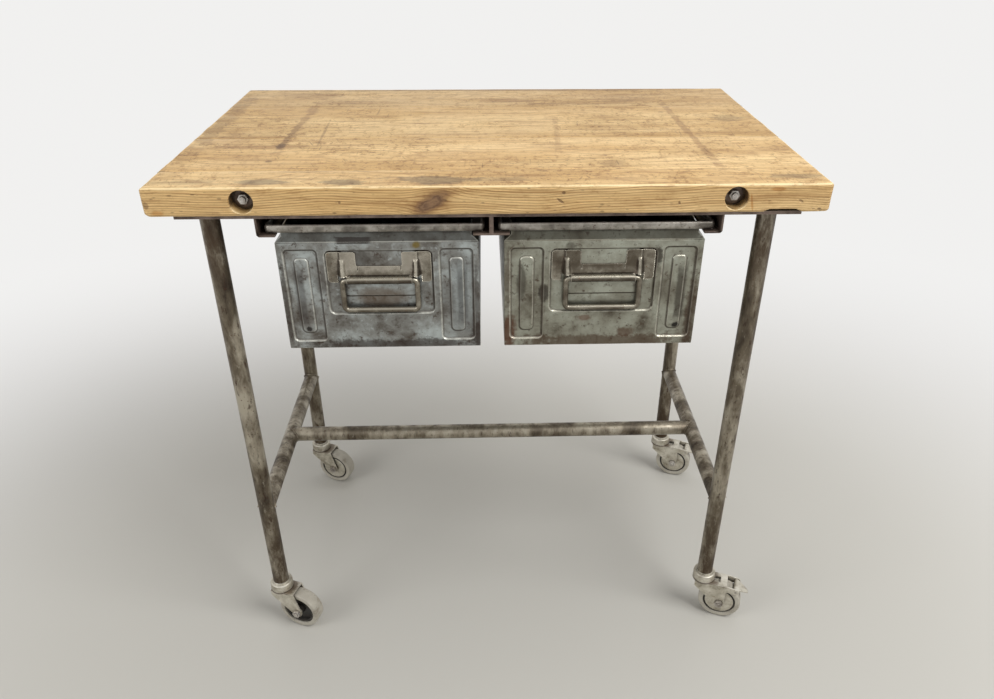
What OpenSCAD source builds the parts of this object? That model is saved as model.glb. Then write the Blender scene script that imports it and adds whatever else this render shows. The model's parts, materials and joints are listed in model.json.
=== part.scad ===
// Industrial work table: a pine top bolted up from boards, a welded tube frame,
// two sheet-steel drawers that hang by their rims on rails, and four swivel casters.
// The origin is on the floor under the centre of the worktop, +X right, +Y to the back, +Z up.

/* [Worktop] */
// Width of the worktop, left to right
top_w = 906; // [870:2:1400]
// Depth of the worktop, front to back
top_d = 570; // [510:10:800]
// Thickness of the worktop
top_t = 39.5; // [35:0.5:60]
// Height of the work surface above the floor
work_h = 840; // [700:10:1000]
// Width of the front board
front_board_w = 70; // [50:1:120]
// Width of the second board
second_board_w = 160; // [60:1:180]
// Width of the third board
third_board_w = 200; // [60:1:220]
// Rounding of the long front and rear edges
edge_r = 3; // [1:0.5:6]

/* [Tie rods] */
// Distance from the end of the worktop to a tie rod
rod_inset = 127.5; // [125:0.5:180]
// Diameter of a tie rod
rod_d = 8; // [6:1:10]
// Diameter of the counterbore in the edge
cbore_d = 32; // [28:1:34]
// Depth of the counterbore
cbore_depth = 20; // [18:1:25]
// Diameter of a washer
washer_d = 25; // [24:0.5:26]
// Thickness of a washer
washer_t = 2; // [1.5:0.1:3]
// Size of a tie rod nut across its flats
rod_nut_af = 13; // [12:0.5:17]
// Height of a tie rod nut
rod_nut_h = 6.5; // [5:0.5:8]
// How far the rod stands out of its nut
rod_stub = 3; // [1:0.5:4]

/* [Subframe] */
// Width of the front and rear bars under the worktop
bar_w = 76; // [70:1:80]
// Width of the side bars
side_bar_w = 50; // [40:1:60]
// Thickness of the flat bars
bar_t = 5; // [4:0.5:8]
// Distance from the end of the worktop to the end of a cross bar
bar_inset = 35; // [20:1:36]
// Diameter of a frame screw's shank
screw_d = 6; // [5:0.5:8]
// Length of a frame screw in the wood
screw_bite = 22; // [12:1:30]
// Size of a screw head across its flats
screw_af = 10; // [9:1:13]
// Height of a screw head
screw_head_h = 4; // [3:0.5:6]

/* [Legs and stretchers] */
// Outer diameter of the tubes
tube_d = 26.9; // [25:0.1:30]
// Wall of the tubes
tube_wall = 2.6; // [2:0.1:3.2]
// Distance from the end of the worktop to a leg's axis
leg_inset = 68; // [66:1:72]
// Distance from the front edge of the worktop to a front leg's axis
leg_setback = 44; // [42:1:60]
// Distance from a front leg's axis to the rear leg's axis
leg_span = 412; // [380:1:425]
// Height of the stretchers' axis above the floor
stretcher_z = 267; // [180:1:400]

/* [Drawer rails] */
// Height of a rail
rail_h = 27.5; // [26:0.5:50]
// Width of a rail's flange
rail_flange = 25; // [20:1:30]
// Thickness of a rail's steel
rail_t = 3; // [2:0.5:4]
// How far a rail's end is behind the front edge of its bar
rail_setback = 2; // [0:1:15]

/* [Drawers] */
// Width of a drawer over its rim
rim_w = 297; // [280:1:302]
// Height of the rim
rim_h = 11.5; // [10:0.5:13]
// Overhang of the rim in front of and behind the drawer
rim_out = 11; // [6:1:14]
// Thickness of the rim's bead
bead_t = 3; // [2:0.5:4]
// Depth of a drawer without its rim
drawer_d = 450; // [400:1:480]
// Height of a drawer from its floor to its rim
drawer_h = 196; // [190:1:260]
// Distance from the front edge of the worktop to the face of a drawer
drawer_setback = 25; // [22:1:40]
// Thickness of the drawers' sheet
sheet_t = 1.2; // [0.8:0.1:1.5]
// How far the side steps in below the rim
shoulder = 10; // [8:0.5:12]
// Height of the straight neck under the rim
neck_h = 8.7; // [8:0.1:10]
// Fold at the drawer's lower edges
fold = 3; // [2:0.5:5]
// Corner radius of the rim
rim_corner = 5; // [4:0.5:10]

/* [Pressings in the drawer front] */
// Depth of the pressings
press_depth = 2.5; // [1.5:0.1:3]
// Corner radius of the pressings
press_r = 5; // [3:0.5:8]
// Width of a side pressing
side_press_w = 46; // [40:1:48]
// Height of a side pressing
side_press_h = 143; // [120:1:144]
// Distance from the panel's edge to a side pressing
side_press_edge = 9; // [6:1:12]
// Distance from the panel's lower edge to a side pressing
side_press_up = 12; // [8:1:14]
// Width of the raised rib in a side pressing
rib_w = 19; // [14:1:24]
// Height of the raised rib in a side pressing
rib_h = 116; // [90:1:117]
// Height of the ribs above the pressings' floor
rib_rise = 1.5; // [1:0.1:2]
// Width of the pocket behind the handle
pocket_w = 149; // [147:1:152]
// Height of the pocket behind the handle
pocket_h = 97; // [94:1:100]
// Height of the pocket above the panel's lower edge
pocket_up = 56; // [52:1:58]
// Width of the raised field in the pocket
field_w = 104; // [96:1:104]
// Height of the raised field in the pocket
field_h = 64; // [50:1:66]

/* [Handles] */
// Width of the handle bracket
bracket_w = 146; // [142:1:146]
// Distance from the bracket's top to its raised part
raised_in = 9; // [4:0.5:12]
// Width of the raised part of the bracket
raised_w = 114; // [113:1:118]
// Width of the notch in the bracket
notch_w = 64; // [50:1:70]
// Depth of the notch in the bracket
notch_h = 21; // [16:1:26]
// Diameter of the bail's wire
bail_wire = 8; // [6:0.5:8]
// Width of the bail over its wire
bail_w = 113; // [112:1:114]
// Distance from the bail's pivot to its lower bar
bail_drop = 46; // [40:1:48]
// Height of the bail's pivot above the panel's lower edge
bail_up = 110.5; // [109:0.5:112]
// Bend radius of the bail's corners, at the middle of the wire
bail_bend = 6; // [5:0.5:8]

/* [Casters] */
// Diameter of a wheel
wheel_d = 75; // [70:1:80]
// Width of a tyre
tread_w = 24; // [22:1:25]
// Height of the rubber of a tyre
tyre_h = 8.5; // [7:0.5:10]
// Distance from the swivel axis to the axle
trail = 34; // [30:0.5:36]
// Direction in which the casters trail, from +X
heading = -20; // [-60:5:60]
// Reach of the crown behind the swivel axis
crown_rear = 14; // [12:0.5:19]
// Reach of the crown along the trail
crown_front = 30; // [26:0.5:34]
// Gap between the wheel and the fork's crown
crown_gap = 2.5; // [2:0.5:4]
// Thickness of the fork's sheet
fork_t = 2.5; // [2:0.1:3]
// Inner width of the fork
fork_w = 28; // [27:0.5:30]
// Depth of the fork's side under the crown
fork_side_h = 12; // [10:0.5:16]
// Diameter of the swivel head
head_d = 39; // [37:0.5:42]
// Height of the swivel head above the crown
head_h = 15; // [14:0.5:18]
// Height of the collar that a leg stands on
collar_h = 3; // [2:0.5:5]
// Overhang of the collar round the leg
collar_out = 1.5; // [1:0.1:2.5]
// Wall of the head's skirt
skirt_t = 1.2; // [1:0.1:1.5]
// Length of the spigot in a leg
spigot_l = 38; // [25:1:60]
// Diameter of the kingpin
kingpin_d = 10; // [8:0.5:12]
// How far the kingpin's head stands out from the pin
pin_head_out = 3; // [2:0.5:4]
// Thickness of the kingpin's head
pin_head_t = 1.6; // [1:0.1:1.8]
// Diameter of the swivel's balls
ball_d = 5; // [4:0.5:5]
// Number of balls in a swivel
ball_n = 10; // [8:1:14]
// Diameter of the axle
axle_d = 8; // [7:0.5:9]
// Size of the axle's head and nut across their flats
axle_af = 13; // [12:0.5:14]
// Height of the axle's head and nut
axle_head_h = 5.5; // [4:0.5:7]
// How far the axle stands out of its nut
axle_stub = 1.5; // [0.5:0.5:3]
// Diameter of the hub's boss and of the fork's round ends
boss_d = 18; // [16:0.5:20]
// How far the hub's boss is behind the side of the tyre
hub_inset = 2; // [1:0.5:3]
// Thickness of the hub's web
hub_web_t = 6; // [4:0.5:8]
// Thickness of the hub's rim
hub_rim_t = 4; // [3:0.5:5]
// Diameter of a thread guard
guard_d = 51; // [46:1:52]
// Thickness of a thread guard
guard_t = 1; // [0.8:0.1:1.2]

/* [Brake pedals] */
// Distance from the swivel axis to the pedal's pin
pedal_pin_s = 60; // [59:0.5:62]
// Height of the pedal's pin above the wheel's centre
pedal_pin_up = 34.5; // [34:0.5:36]
// Diameter of the pedal's pin
pedal_pin_d = 4; // [3:0.5:4]
// Diameter of the fork's round ends at the pin
pin_boss_d = 12; // [11:0.5:13]
// Diameter of the pedal's barrel
barrel_d = 9; // [8:0.5:9]
// Reach of the crown of a caster with a brake
brake_crown = 43; // [40:0.5:46]
// Distance from the swivel axis to the pedal's tip
pedal_reach = 81; // [76:1:82]
// Drop of the pedal's tip below its pin
pedal_drop = 6; // [3:0.5:8]
// Thickness of the pedal's tread
pedal_t = 3; // [2:0.5:4]
// Width of the pedal's tip
tip_w = 6; // [4:0.5:10]

/* [Clearances] */
// Between a drawer's rim and the rails' webs
side_clear = 6; // [4:0.5:8]
// Between a drawer's neck and the rails' flanges
neck_clear = 2.5; // [2:0.1:3]
// Between a drawer's rim and the flanges that it slides on
slide_clear = 0.3; // [0.2:0.05:0.5]
// Round a shaft that turns in its bore, on the radius
run_clear = 0.05; // [0.02:0.01:0.1]
// Between the bail and the bracket's tunnel, on the radius
bail_clear = 0.1; // [0.05:0.01:0.1]
// Round fixed fasteners and at welded tube ends
fixed_clear = 0.1; // [0.05:0.05:0.3]
// Round a tie rod in the wood, on the radius
rod_clear = 0.5; // [0.2:0.1:1]
// Between the bail's wire and the raised part of its bracket
swing_clear = 2.5; // [2:0.1:3]
// Between parts of a caster that turn past each other
turn_clear = 0.4; // [0.3:0.05:0.6]

/* [Hidden] */
$fn = 64;

// Heights and places of the frame
front_y = -top_d / 2;
top_under_z = work_h - top_t;
frame_under_z = top_under_z - bar_t;
leg_x = top_w / 2 - leg_inset;
leg_front_y = front_y + leg_setback;
leg_rear_y = leg_front_y + leg_span;
bar_front_y = leg_front_y - bar_w / 2;
bar_rear_y = leg_rear_y + bar_w / 2;
rod_x = top_w / 2 - rod_inset;
rod_z = top_under_z + top_t / 2;
rod_end_y = top_d / 2 - cbore_depth + washer_t + rod_nut_h + rod_stub;

// Rails, and the drawers that fit between them
rail_bottom_z = frame_under_z - rail_h;
rail_face_z = rail_bottom_z + rail_t;
slot_w = rim_w + 2 * side_clear;
drawer_x = rail_t + slot_w / 2;
rail_outer_x = slot_w + 2 * rail_t;
neck_w = slot_w - 2 * (rail_flange - rail_t) - 2 * neck_clear;
tub_w = neck_w + 2 * shoulder;
rim_under_z = rail_face_z + slide_clear;
rim_top_z = rim_under_z + rim_h;
tub_bottom_z = rim_top_z - drawer_h;
shoulder_top_z = rim_under_z - neck_h;
shoulder_low_z = shoulder_top_z - shoulder;
panel_y = front_y + drawer_setback;
tub_front_y = panel_y + sheet_t;
tub_rear_y = panel_y + drawer_d;
miter = sqrt(2) - 1;

// Handle: the bracket lies on the pocket's floor, and its curled edge holds the bail
floor_y = panel_y + press_depth;
field_y = floor_y - rib_rise;
bail_r = bail_wire / 2;
tunnel_r = bail_r + bail_clear + sheet_t;
bail_y = field_y - turn_clear - tunnel_r;
bail_z = tub_bottom_z + bail_up;
pocket_low_z = tub_bottom_z + pocket_up;
bracket_low_z = bail_z - bail_r;
bracket_h = pocket_low_z + pocket_h - (pocket_w - bracket_w) / 2 - bracket_low_z;
bracket_top_z = bracket_low_z + bracket_h;
raised_low_z = bail_z + bail_r + swing_clear;
raised_y = bail_y - tunnel_r;
bail_x = bail_w / 2 - bail_r;
tunnel_x = bail_x - bail_bend - turn_clear;

// Caster heights; s runs from the swivel axis along the trail
wheel_r = wheel_d / 2;
rim_r = wheel_r - tyre_h;
crown_under_z = wheel_d + crown_gap;
crown_z = crown_under_z + fork_t;
head_z = crown_z + head_h;
caster_h = head_z + collar_h;
race_sink = 0.5;
race_land = 1.8;
race_r = head_d / 2 - skirt_t - race_land - ball_d / 2;
ball_z = crown_z + ball_d / 2 - race_sink;
cheek_y = fork_w / 2;
side_y = cheek_y + fork_t;
hub_w = tread_w - 2 * hub_inset;
boss_r = boss_d / 2;
pin_z = wheel_r + pedal_pin_up;
lobe_r = 1.5;
lobe_z = pin_z - barrel_d / 2 + 0.7;

// Places that repeat
SIDES = [-1, 1];
CASTERS = [
    [-leg_x, leg_front_y], [leg_x, leg_front_y],
    [-leg_x, leg_rear_y], [leg_x, leg_rear_y]
];
FL = 0;
FR = 1;
RL = 2;
RR = 3;
SCREWS = concat(
    [for (y = [leg_front_y, leg_rear_y]) for (i = SIDES)
        for (x = [drawer_x, leg_x + tube_d / 2 + screw_af]) [i * x, y]],
    [for (i = SIDES) [i * leg_x, (leg_front_y + leg_rear_y) / 2]]
);

// Colours
wood = "burlywood";
bare_steel = "#5d5750";
dark_steel = "#3b3733";
drawer_steel = "#7d8688";
rim_steel = "#5f5a62";
bright_steel = "#a89f90";
zinc = "#b9b9b3";
hub_grey = "#3a3a38";
rubber = "#a9a7a2";

// Helpers
function arc(cx, cy, r, a0, a1, n = 6) =
    [for (i = [0:n]) let (a = a0 + (a1 - a0) * i / n) [cx + r * cos(a), cy + r * sin(a)]];

module rrect(w, h, r) {
    square([w - 2 * r, h], center = true);
    square([w, h - 2 * r], center = true);
    for (x = SIDES) for (y = SIDES)
        translate([x * (w / 2 - r), y * (h / 2 - r)]) circle(r);
}

// A flat outline in X and Z, given depth from y0 back to y1
module along_y(y0, y1) {
    translate([0, y1, 0]) rotate([90, 0, 0]) linear_extrude(y1 - y0) children();
}

// A flat outline in Y and Z, given width from x0 to x1
module along_x(x0, x1) {
    translate([x0, 0, 0]) rotate([90, 0, 90]) linear_extrude(x1 - x0) children();
}

module rod_x(r, x0, x1, y, z) {
    translate([x0, y, z]) rotate([0, 90, 0]) cylinder(r = r, h = x1 - x0);
}

module rod_y(r, y0, y1, x, z) {
    translate([x, y1, z]) rotate([90, 0, 0]) cylinder(r = r, h = y1 - y0);
}

module hex_y(af, y0, y1, x, z) {
    translate([x, y1, z]) rotate([90, 0, 0]) cylinder(d = af / cos(30), h = y1 - y0, $fn = 6);
}

// Worktop boards
module rod_hole(side) {
    rod_y(rod_d / 2 + rod_clear, -top_d, top_d, side * rod_x, rod_z);
    for (y = SIDES)
        rod_y(cbore_d / 2, y * top_d / 2 - cbore_depth, y * top_d / 2 + cbore_depth,
            side * rod_x, rod_z);
}

module board(y0, y1, front_r, rear_r) {
    z0 = top_under_z;
    z1 = work_h;
    front = front_r > 0
        ? concat(arc(y0 + front_r, z0 + front_r, front_r, 270, 180),
            arc(y0 + front_r, z1 - front_r, front_r, 180, 90))
        : [[y0, z0], [y0, z1]];
    rear = rear_r > 0
        ? concat(arc(y1 - rear_r, z1 - rear_r, rear_r, 90, 0),
            arc(y1 - rear_r, z0 + rear_r, rear_r, 0, -90))
        : [[y1, z1], [y1, z0]];
    color(wood) difference() {
        along_x(-top_w / 2, top_w / 2) polygon(concat(front, rear));
        for (side = SIDES) rod_hole(side);
        for (p = SCREWS)
            translate([p[0], p[1], z0 - 1])
                cylinder(r = screw_d / 2 + fixed_clear, h = screw_bite + 2);
    }
}

module top_board_front() {
    board(front_y, front_y + front_board_w, edge_r, 0);
}

module top_board_second() {
    board(front_y + front_board_w, front_y + front_board_w + second_board_w, 0, 0);
}

module top_board_third() {
    y0 = front_y + front_board_w + second_board_w;
    board(y0, y0 + third_board_w, 0, 0);
}

module top_board_rear() {
    board(front_y + front_board_w + second_board_w + third_board_w, top_d / 2, 0, edge_r);
}

// Tie rods with a washer and a nut in each counterbore
module tie_rods() {
    color(zinc) for (side = SIDES)
        rod_y(rod_d / 2, -rod_end_y, rod_end_y, side * rod_x, rod_z);
}

module tie_rod_washers() {
    seat = top_d / 2 - cbore_depth;
    color(zinc) for (side = SIDES) for (y = SIDES) difference() {
        rod_y(washer_d / 2, y * (seat + washer_t / 2) - washer_t / 2,
            y * (seat + washer_t / 2) + washer_t / 2, side * rod_x, rod_z);
        rod_y(rod_d / 2 + fixed_clear, -top_d, top_d, side * rod_x, rod_z);
    }
}

module tie_rod_nuts() {
    middle = top_d / 2 - cbore_depth + washer_t + rod_nut_h / 2;
    color(zinc) for (side = SIDES) for (y = SIDES) difference() {
        hex_y(rod_nut_af, y * middle - rod_nut_h / 2, y * middle + rod_nut_h / 2,
            side * rod_x, rod_z);
        rod_y(rod_d / 2 + fixed_clear, -top_d, top_d, side * rod_x, rod_z);
    }
}

// Flat bars under the worktop, drilled for the frame screws
module bar(x0, x1, y0, y1) {
    color(bare_steel) difference() {
        translate([x0, y0, frame_under_z]) cube([x1 - x0, y1 - y0, bar_t]);
        for (p = SCREWS)
            translate([p[0], p[1], frame_under_z - 1])
                cylinder(r = screw_d / 2 + fixed_clear, h = bar_t + 2);
    }
}

module cross_bar(y) {
    x = top_w / 2 - bar_inset;
    bar(-x, x, y - bar_w / 2, y + bar_w / 2);
}

module side_bar(side) {
    x = side * leg_x;
    bar(x - side_bar_w / 2, x + side_bar_w / 2, leg_front_y + bar_w / 2, leg_rear_y - bar_w / 2);
}

module frame_screws() {
    color(zinc) for (p = SCREWS) translate([p[0], p[1], frame_under_z]) {
        translate([0, 0, -screw_head_h])
            cylinder(d = screw_af / cos(30), h = screw_head_h, $fn = 6);
        cylinder(d = screw_d, h = bar_t + screw_bite);
    }
}

// Legs and stretchers
module leg(i) {
    p = CASTERS[i];
    color(bare_steel) translate([p[0], p[1], caster_h]) difference() {
        cylinder(d = tube_d, h = frame_under_z - caster_h);
        translate([0, 0, -1]) cylinder(d = tube_d - 2 * tube_wall, h = frame_under_z);
    }
}

module side_stretcher(side) {
    x = side * leg_x;
    color(bare_steel) difference() {
        rod_y(tube_d / 2, leg_front_y, leg_rear_y, x, stretcher_z);
        rod_y(tube_d / 2 - tube_wall, leg_front_y - 1, leg_rear_y + 1, x, stretcher_z);
        for (y = [leg_front_y, leg_rear_y])
            translate([x, y, stretcher_z - tube_d])
                cylinder(r = tube_d / 2 + fixed_clear, h = 2 * tube_d);
    }
}

module stretcher_centre() {
    y = (leg_front_y + leg_rear_y) / 2;
    color(bare_steel) difference() {
        rod_x(tube_d / 2, -leg_x, leg_x, y, stretcher_z);
        rod_x(tube_d / 2 - tube_wall, -leg_x - 1, leg_x + 1, y, stretcher_z);
        for (side = SIDES)
            rod_y(tube_d / 2 + fixed_clear, y - tube_d, y + tube_d, side * leg_x, stretcher_z);
    }
}

// Rails: angles at the sides and a T in the middle, welded under the cross bars
module side_rail(side) {
    web = [rail_outer_x - rail_t, rail_outer_x];
    tip = rail_outer_x - rail_flange;
    color(dark_steel) scale([side, 1, 1])
        along_y(bar_front_y + rail_setback, bar_rear_y) polygon([
            [tip, rail_bottom_z], [web[1] - rail_t, rail_bottom_z],
            [web[1], rail_bottom_z + rail_t], [web[1], frame_under_z],
            [web[0], frame_under_z], [web[0], rail_face_z], [tip, rail_face_z]
        ]);
}

module rail_centre() {
    color(dark_steel) along_y(bar_front_y + rail_setback, bar_rear_y) union() {
        translate([-rail_flange, rail_bottom_z]) square([2 * rail_flange, rail_t]);
        translate([-rail_t, rail_bottom_z]) square([2 * rail_t, rail_h]);
    }
}

// Drawers, drawn about their own middle and then set between the rails
module in_slot(side) {
    translate([side * drawer_x, 0, 0]) children();
}

// Section of the tub in X and Z, drawn in from its outside by inset
function tub_section(inset) =
    let (n = neck_w / 2 - inset, w = tub_w / 2 - inset, m = inset * miter,
        right = [
            [n, rim_under_z], [n, shoulder_top_z - m], [w, shoulder_low_z - m],
            [w, tub_bottom_z + fold + m], [w - fold + inset - m, tub_bottom_z + inset]
        ])
    concat(right, [for (i = [len(right) - 1:-1:0]) [-right[i][0], right[i][1]]]);

module drawer_tub() {
    color(drawer_steel) difference() {
        along_y(tub_front_y, tub_rear_y) polygon(tub_section(0));
        along_y(tub_front_y + sheet_t, tub_rear_y - sheet_t)
            polygon(concat([[neck_w / 2 - sheet_t, rim_top_z]],
                tub_section(sheet_t), [[sheet_t - neck_w / 2, rim_top_z]]));
        along_y(tub_front_y - 1, tub_front_y + sheet_t + 1) intersection() {
            polygon(tub_section(sheet_t));
            translate([-tub_w, tub_bottom_z])
                square([2 * tub_w, shoulder_low_z - miter * sheet_t - tub_bottom_z]);
        }
    }
}

module drawer_rim() {
    y = (panel_y + tub_rear_y) / 2;
    d = drawer_d + 2 * rim_out;
    color(rim_steel) translate([0, y, rim_under_z]) difference() {
        linear_extrude(rim_h) rrect(rim_w, d, rim_corner);
        translate([0, 0, sheet_t])
            linear_extrude(rim_h) rrect(rim_w - 2 * bead_t, d - 2 * bead_t, rim_corner - bead_t / 2);
        translate([sheet_t - neck_w / 2, tub_front_y + sheet_t - y, -1])
            cube([neck_w - 2 * sheet_t, drawer_d - 3 * sheet_t, rim_h]);
    }
}

// Pressed places in the front, each moved to where it stands
module at_side_press() {
    for (side = SIDES)
        translate([side * (tub_w / 2 - side_press_edge - side_press_w / 2),
            tub_bottom_z + side_press_up + side_press_h / 2]) children();
}

module pressings(grow) {
    at_side_press() rrect(side_press_w + 2 * grow, side_press_h + 2 * grow, press_r + grow);
    translate([0, pocket_low_z + pocket_h / 2])
        rrect(pocket_w + 2 * grow, pocket_h + 2 * grow, press_r + grow);
}

module raised_fields(shrink) {
    at_side_press() rrect(rib_w - 2 * shrink, rib_h - 2 * shrink, press_r - shrink);
    translate([0, pocket_low_z + pocket_h - press_r - field_h / 2])
        rrect(field_w - 2 * shrink, field_h - 2 * shrink, press_r - shrink);
}

module drawer_front() {
    color(drawer_steel) difference() {
        union() {
            difference() {
                union() {
                    along_y(panel_y, tub_front_y) translate([-tub_w / 2, tub_bottom_z])
                        square([tub_w, shoulder_low_z - tub_bottom_z]);
                    along_y(panel_y, floor_y + sheet_t) pressings(sheet_t);
                }
                along_y(panel_y - 1, floor_y) pressings(0);
            }
            along_y(field_y, floor_y + sheet_t) raised_fields(0);
        }
        along_y(field_y + sheet_t, floor_y + sheet_t + 1) raised_fields(sheet_t);
    }
}

module bracket_plate() {
    intersection() {
        translate([0, bracket_low_z]) rrect(bracket_w, 2 * bracket_h, press_r);
        translate([-bracket_w / 2, bracket_low_z]) square([bracket_w, bracket_h]);
    }
}

// Section of the raised part in Y and Z, drawn in from its outside by inset
module wedge(inset) {
    top = bracket_top_z - raised_in - 3 * inset;
    polygon([
        [floor_y, top], [floor_y - sheet_t + inset, top],
        [raised_y + inset, raised_low_z + swing_clear], [raised_y + inset, raised_low_z - inset],
        [floor_y, raised_low_z - inset]
    ]);
}

module drawer_bracket() {
    color(bright_steel) difference() {
        union() {
            along_y(floor_y - sheet_t, floor_y) bracket_plate();
            along_x(-raised_w / 2, raised_w / 2) wedge(0);
            along_x(-tunnel_x, tunnel_x) polygon([
                [raised_y, raised_low_z + sheet_t], [raised_y + sheet_t, raised_low_z + sheet_t],
                [raised_y + sheet_t, bail_z], [raised_y, bail_z]
            ]);
            rod_x(tunnel_r, -tunnel_x, tunnel_x, bail_y, bail_z);
        }
        along_x(-raised_w / 2 + sheet_t, raised_w / 2 - sheet_t) wedge(sheet_t);
        rod_x(bail_r + bail_clear, -bail_w, bail_w, bail_y, bail_z);
        translate([-notch_w / 2, raised_y - 1, bracket_top_z - notch_h])
            cube([notch_w, floor_y - raised_y + 2, notch_h + 1]);
        translate([-field_w / 2 - turn_clear, field_y - turn_clear / 4, bracket_low_z - 1])
            cube([field_w + 2 * turn_clear, rib_rise + 1, bracket_h + 2]);
    }
}

module bail_corner(x, z, a) {
    translate([x, bail_y, z]) rotate([90, 0, 0]) rotate([0, 0, a])
        rotate_extrude(angle = 90) translate([bail_bend, 0]) circle(bail_r);
}

module drawer_bail() {
    x = bail_x - bail_bend;
    z0 = bail_z - bail_drop;
    color(bright_steel) {
        rod_x(bail_r, -x, x, bail_y, bail_z);
        rod_x(bail_r, -x, x, bail_y, z0);
        for (side = SIDES) translate([side * bail_x, bail_y, z0 + bail_bend])
            cylinder(r = bail_r, h = bail_drop - 2 * bail_bend);
        bail_corner(x, bail_z - bail_bend, 0);
        bail_corner(-x, bail_z - bail_bend, 90);
        bail_corner(-x, z0 + bail_bend, 180);
        bail_corner(x, z0 + bail_bend, 270);
    }
}

// Casters, drawn with the trail along +X and then turned to their heading
module at_caster(i) {
    translate([CASTERS[i][0], CASTERS[i][1], 0]) rotate([0, 0, heading]) children();
}

// Swivel head: race cup, collar, spigot in the leg, and the kingpin through the crown
module caster_head(i) {
    r = head_d / 2;
    low = crown_z + turn_clear;
    roof = ball_z + turn_clear;
    round = 2.5;
    pin_r = kingpin_d / 2;
    pin_head_r = pin_r + pin_head_out;
    pin_head_top = crown_under_z - turn_clear / 2;
    pin_head_low = pin_head_top - pin_head_t;
    collar_r = tube_d / 2 + collar_out;
    spigot_r = tube_d / 2 - tube_wall - run_clear;
    color(zinc) at_caster(i) difference() {
        rotate_extrude() polygon(concat(
            [[0, pin_head_low], [pin_head_r, pin_head_low], [pin_head_r, pin_head_top],
             [pin_r, pin_head_top], [pin_r, roof], [r - skirt_t, roof], [r - skirt_t, low], [r, low]],
            arc(r - round, head_z - round, round, 0, 90),
            [[collar_r, head_z], [collar_r, caster_h], [spigot_r, caster_h],
             [spigot_r, caster_h + spigot_l], [0, caster_h + spigot_l]]));
        translate([0, 0, ball_z]) rotate_extrude()
            translate([race_r, 0]) circle(ball_d / 2 + run_clear);
    }
}

module cheek(front_s, with_pin) {
    low = crown_z - fork_side_h;
    along_y(cheek_y, side_y) hull() {
        translate([-crown_rear, low]) square([crown_rear + front_s, fork_side_h]);
        translate([trail, wheel_r]) circle(boss_r, $fn = 32);
    }
    if (with_pin)
        along_y(cheek_y, side_y) hull() {
            translate([front_s - fork_side_h, low]) square(fork_side_h);
            translate([pedal_pin_s, pin_z]) circle(pin_boss_d / 2, $fn = 32);
        }
}

module caster_fork(i, with_brake) {
    front_s = with_brake ? brake_crown : crown_front;
    crown_slot = head_d / 2 + skirt_t;
    crown_lip = 12;
    color(zinc) at_caster(i) difference() {
        union() {
            translate([0, 0, crown_under_z]) {
                cylinder(d = head_d + 1, h = fork_t);
                translate([0, -side_y, 0]) cube([front_s, 2 * side_y, fork_t]);
            }
            cheek(front_s, with_brake);
            mirror([0, 1, 0]) cheek(front_s, with_brake);
        }
        translate([0, 0, crown_under_z - 1])
            cylinder(r = kingpin_d / 2 + run_clear, h = fork_t + 2);
        translate([0, 0, ball_z]) rotate_extrude()
            translate([race_r, 0]) circle(ball_d / 2 + run_clear);
        rod_y(axle_d / 2 + run_clear, -fork_w, fork_w, trail, wheel_r);
        if (with_brake) {
            rod_y(pedal_pin_d / 2 + run_clear, -fork_w, fork_w, pedal_pin_s, pin_z);
            translate([crown_slot, -fork_w / 4, crown_under_z - 1])
                cube([brake_crown - crown_lip - crown_slot, fork_w / 2, fork_t + 2]);
        }
    }
}

// Axle bolt and nut, and the pedal's pin where there is a brake
module caster_axle(i, with_brake) {
    color(bright_steel) at_caster(i) {
        rod_y(axle_d / 2, -side_y - axle_head_h - axle_stub, side_y + 1, trail, wheel_r);
        hex_y(axle_af, side_y, side_y + axle_head_h, trail, wheel_r);
        difference() {
            hex_y(axle_af, -side_y - axle_head_h, -side_y, trail, wheel_r);
            rod_y(axle_d / 2 + run_clear, -side_y - axle_head_h - 1, -side_y + 1, trail, wheel_r);
        }
        if (with_brake)
            rod_y(pedal_pin_d / 2, -side_y - 1, side_y + 1, pedal_pin_s, pin_z);
    }
}

// Thread guards: dished discs in the wheel's sides, held by their bosses on the axle
module guard(side, with_disc) {
    outer = cheek_y - run_clear;
    inner = hub_w / 2 + turn_clear;
    scale([1, side, 1]) difference() {
        union() {
            rod_y(boss_r - 2 * guard_t, inner, outer, trail, wheel_r);
            if (with_disc) rod_y(guard_d / 2, inner, inner + guard_t, trail, wheel_r);
        }
        rod_y(axle_d / 2 + run_clear, 0, fork_w, trail, wheel_r);
    }
}

module caster_guards(i, near_disc) {
    color(zinc) at_caster(i) {
        guard(1, true);
        guard(-1, near_disc);
    }
}

module caster_hub(i) {
    bore_r = axle_d / 2 + run_clear;
    inner_r = rim_r - hub_rim_t;
    w = hub_w / 2;
    lip = w - 1;
    web = hub_web_t / 2;
    color(hub_grey) at_caster(i) translate([trail, 0, wheel_r]) rotate([90, 0, 0])
        rotate_extrude() polygon([
            [bore_r, -w], [boss_r, -w], [boss_r, -web], [inner_r, -web], [inner_r, -lip],
            [rim_r, -lip], [rim_r, lip], [inner_r, lip], [inner_r, web], [boss_r, web],
            [boss_r, w], [bore_r, w]
        ]);
}

module caster_tyre(i) {
    w = tread_w / 2;
    round = 3;
    color(rubber) at_caster(i) translate([trail, 0, wheel_r]) rotate([90, 0, 0])
        rotate_extrude() polygon(concat(
            [[rim_r, w], [rim_r, -w]],
            arc(wheel_r - round, -w + round, round, -90, 0),
            arc(wheel_r - round, w - round, round, 0, 90)));
}

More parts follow.
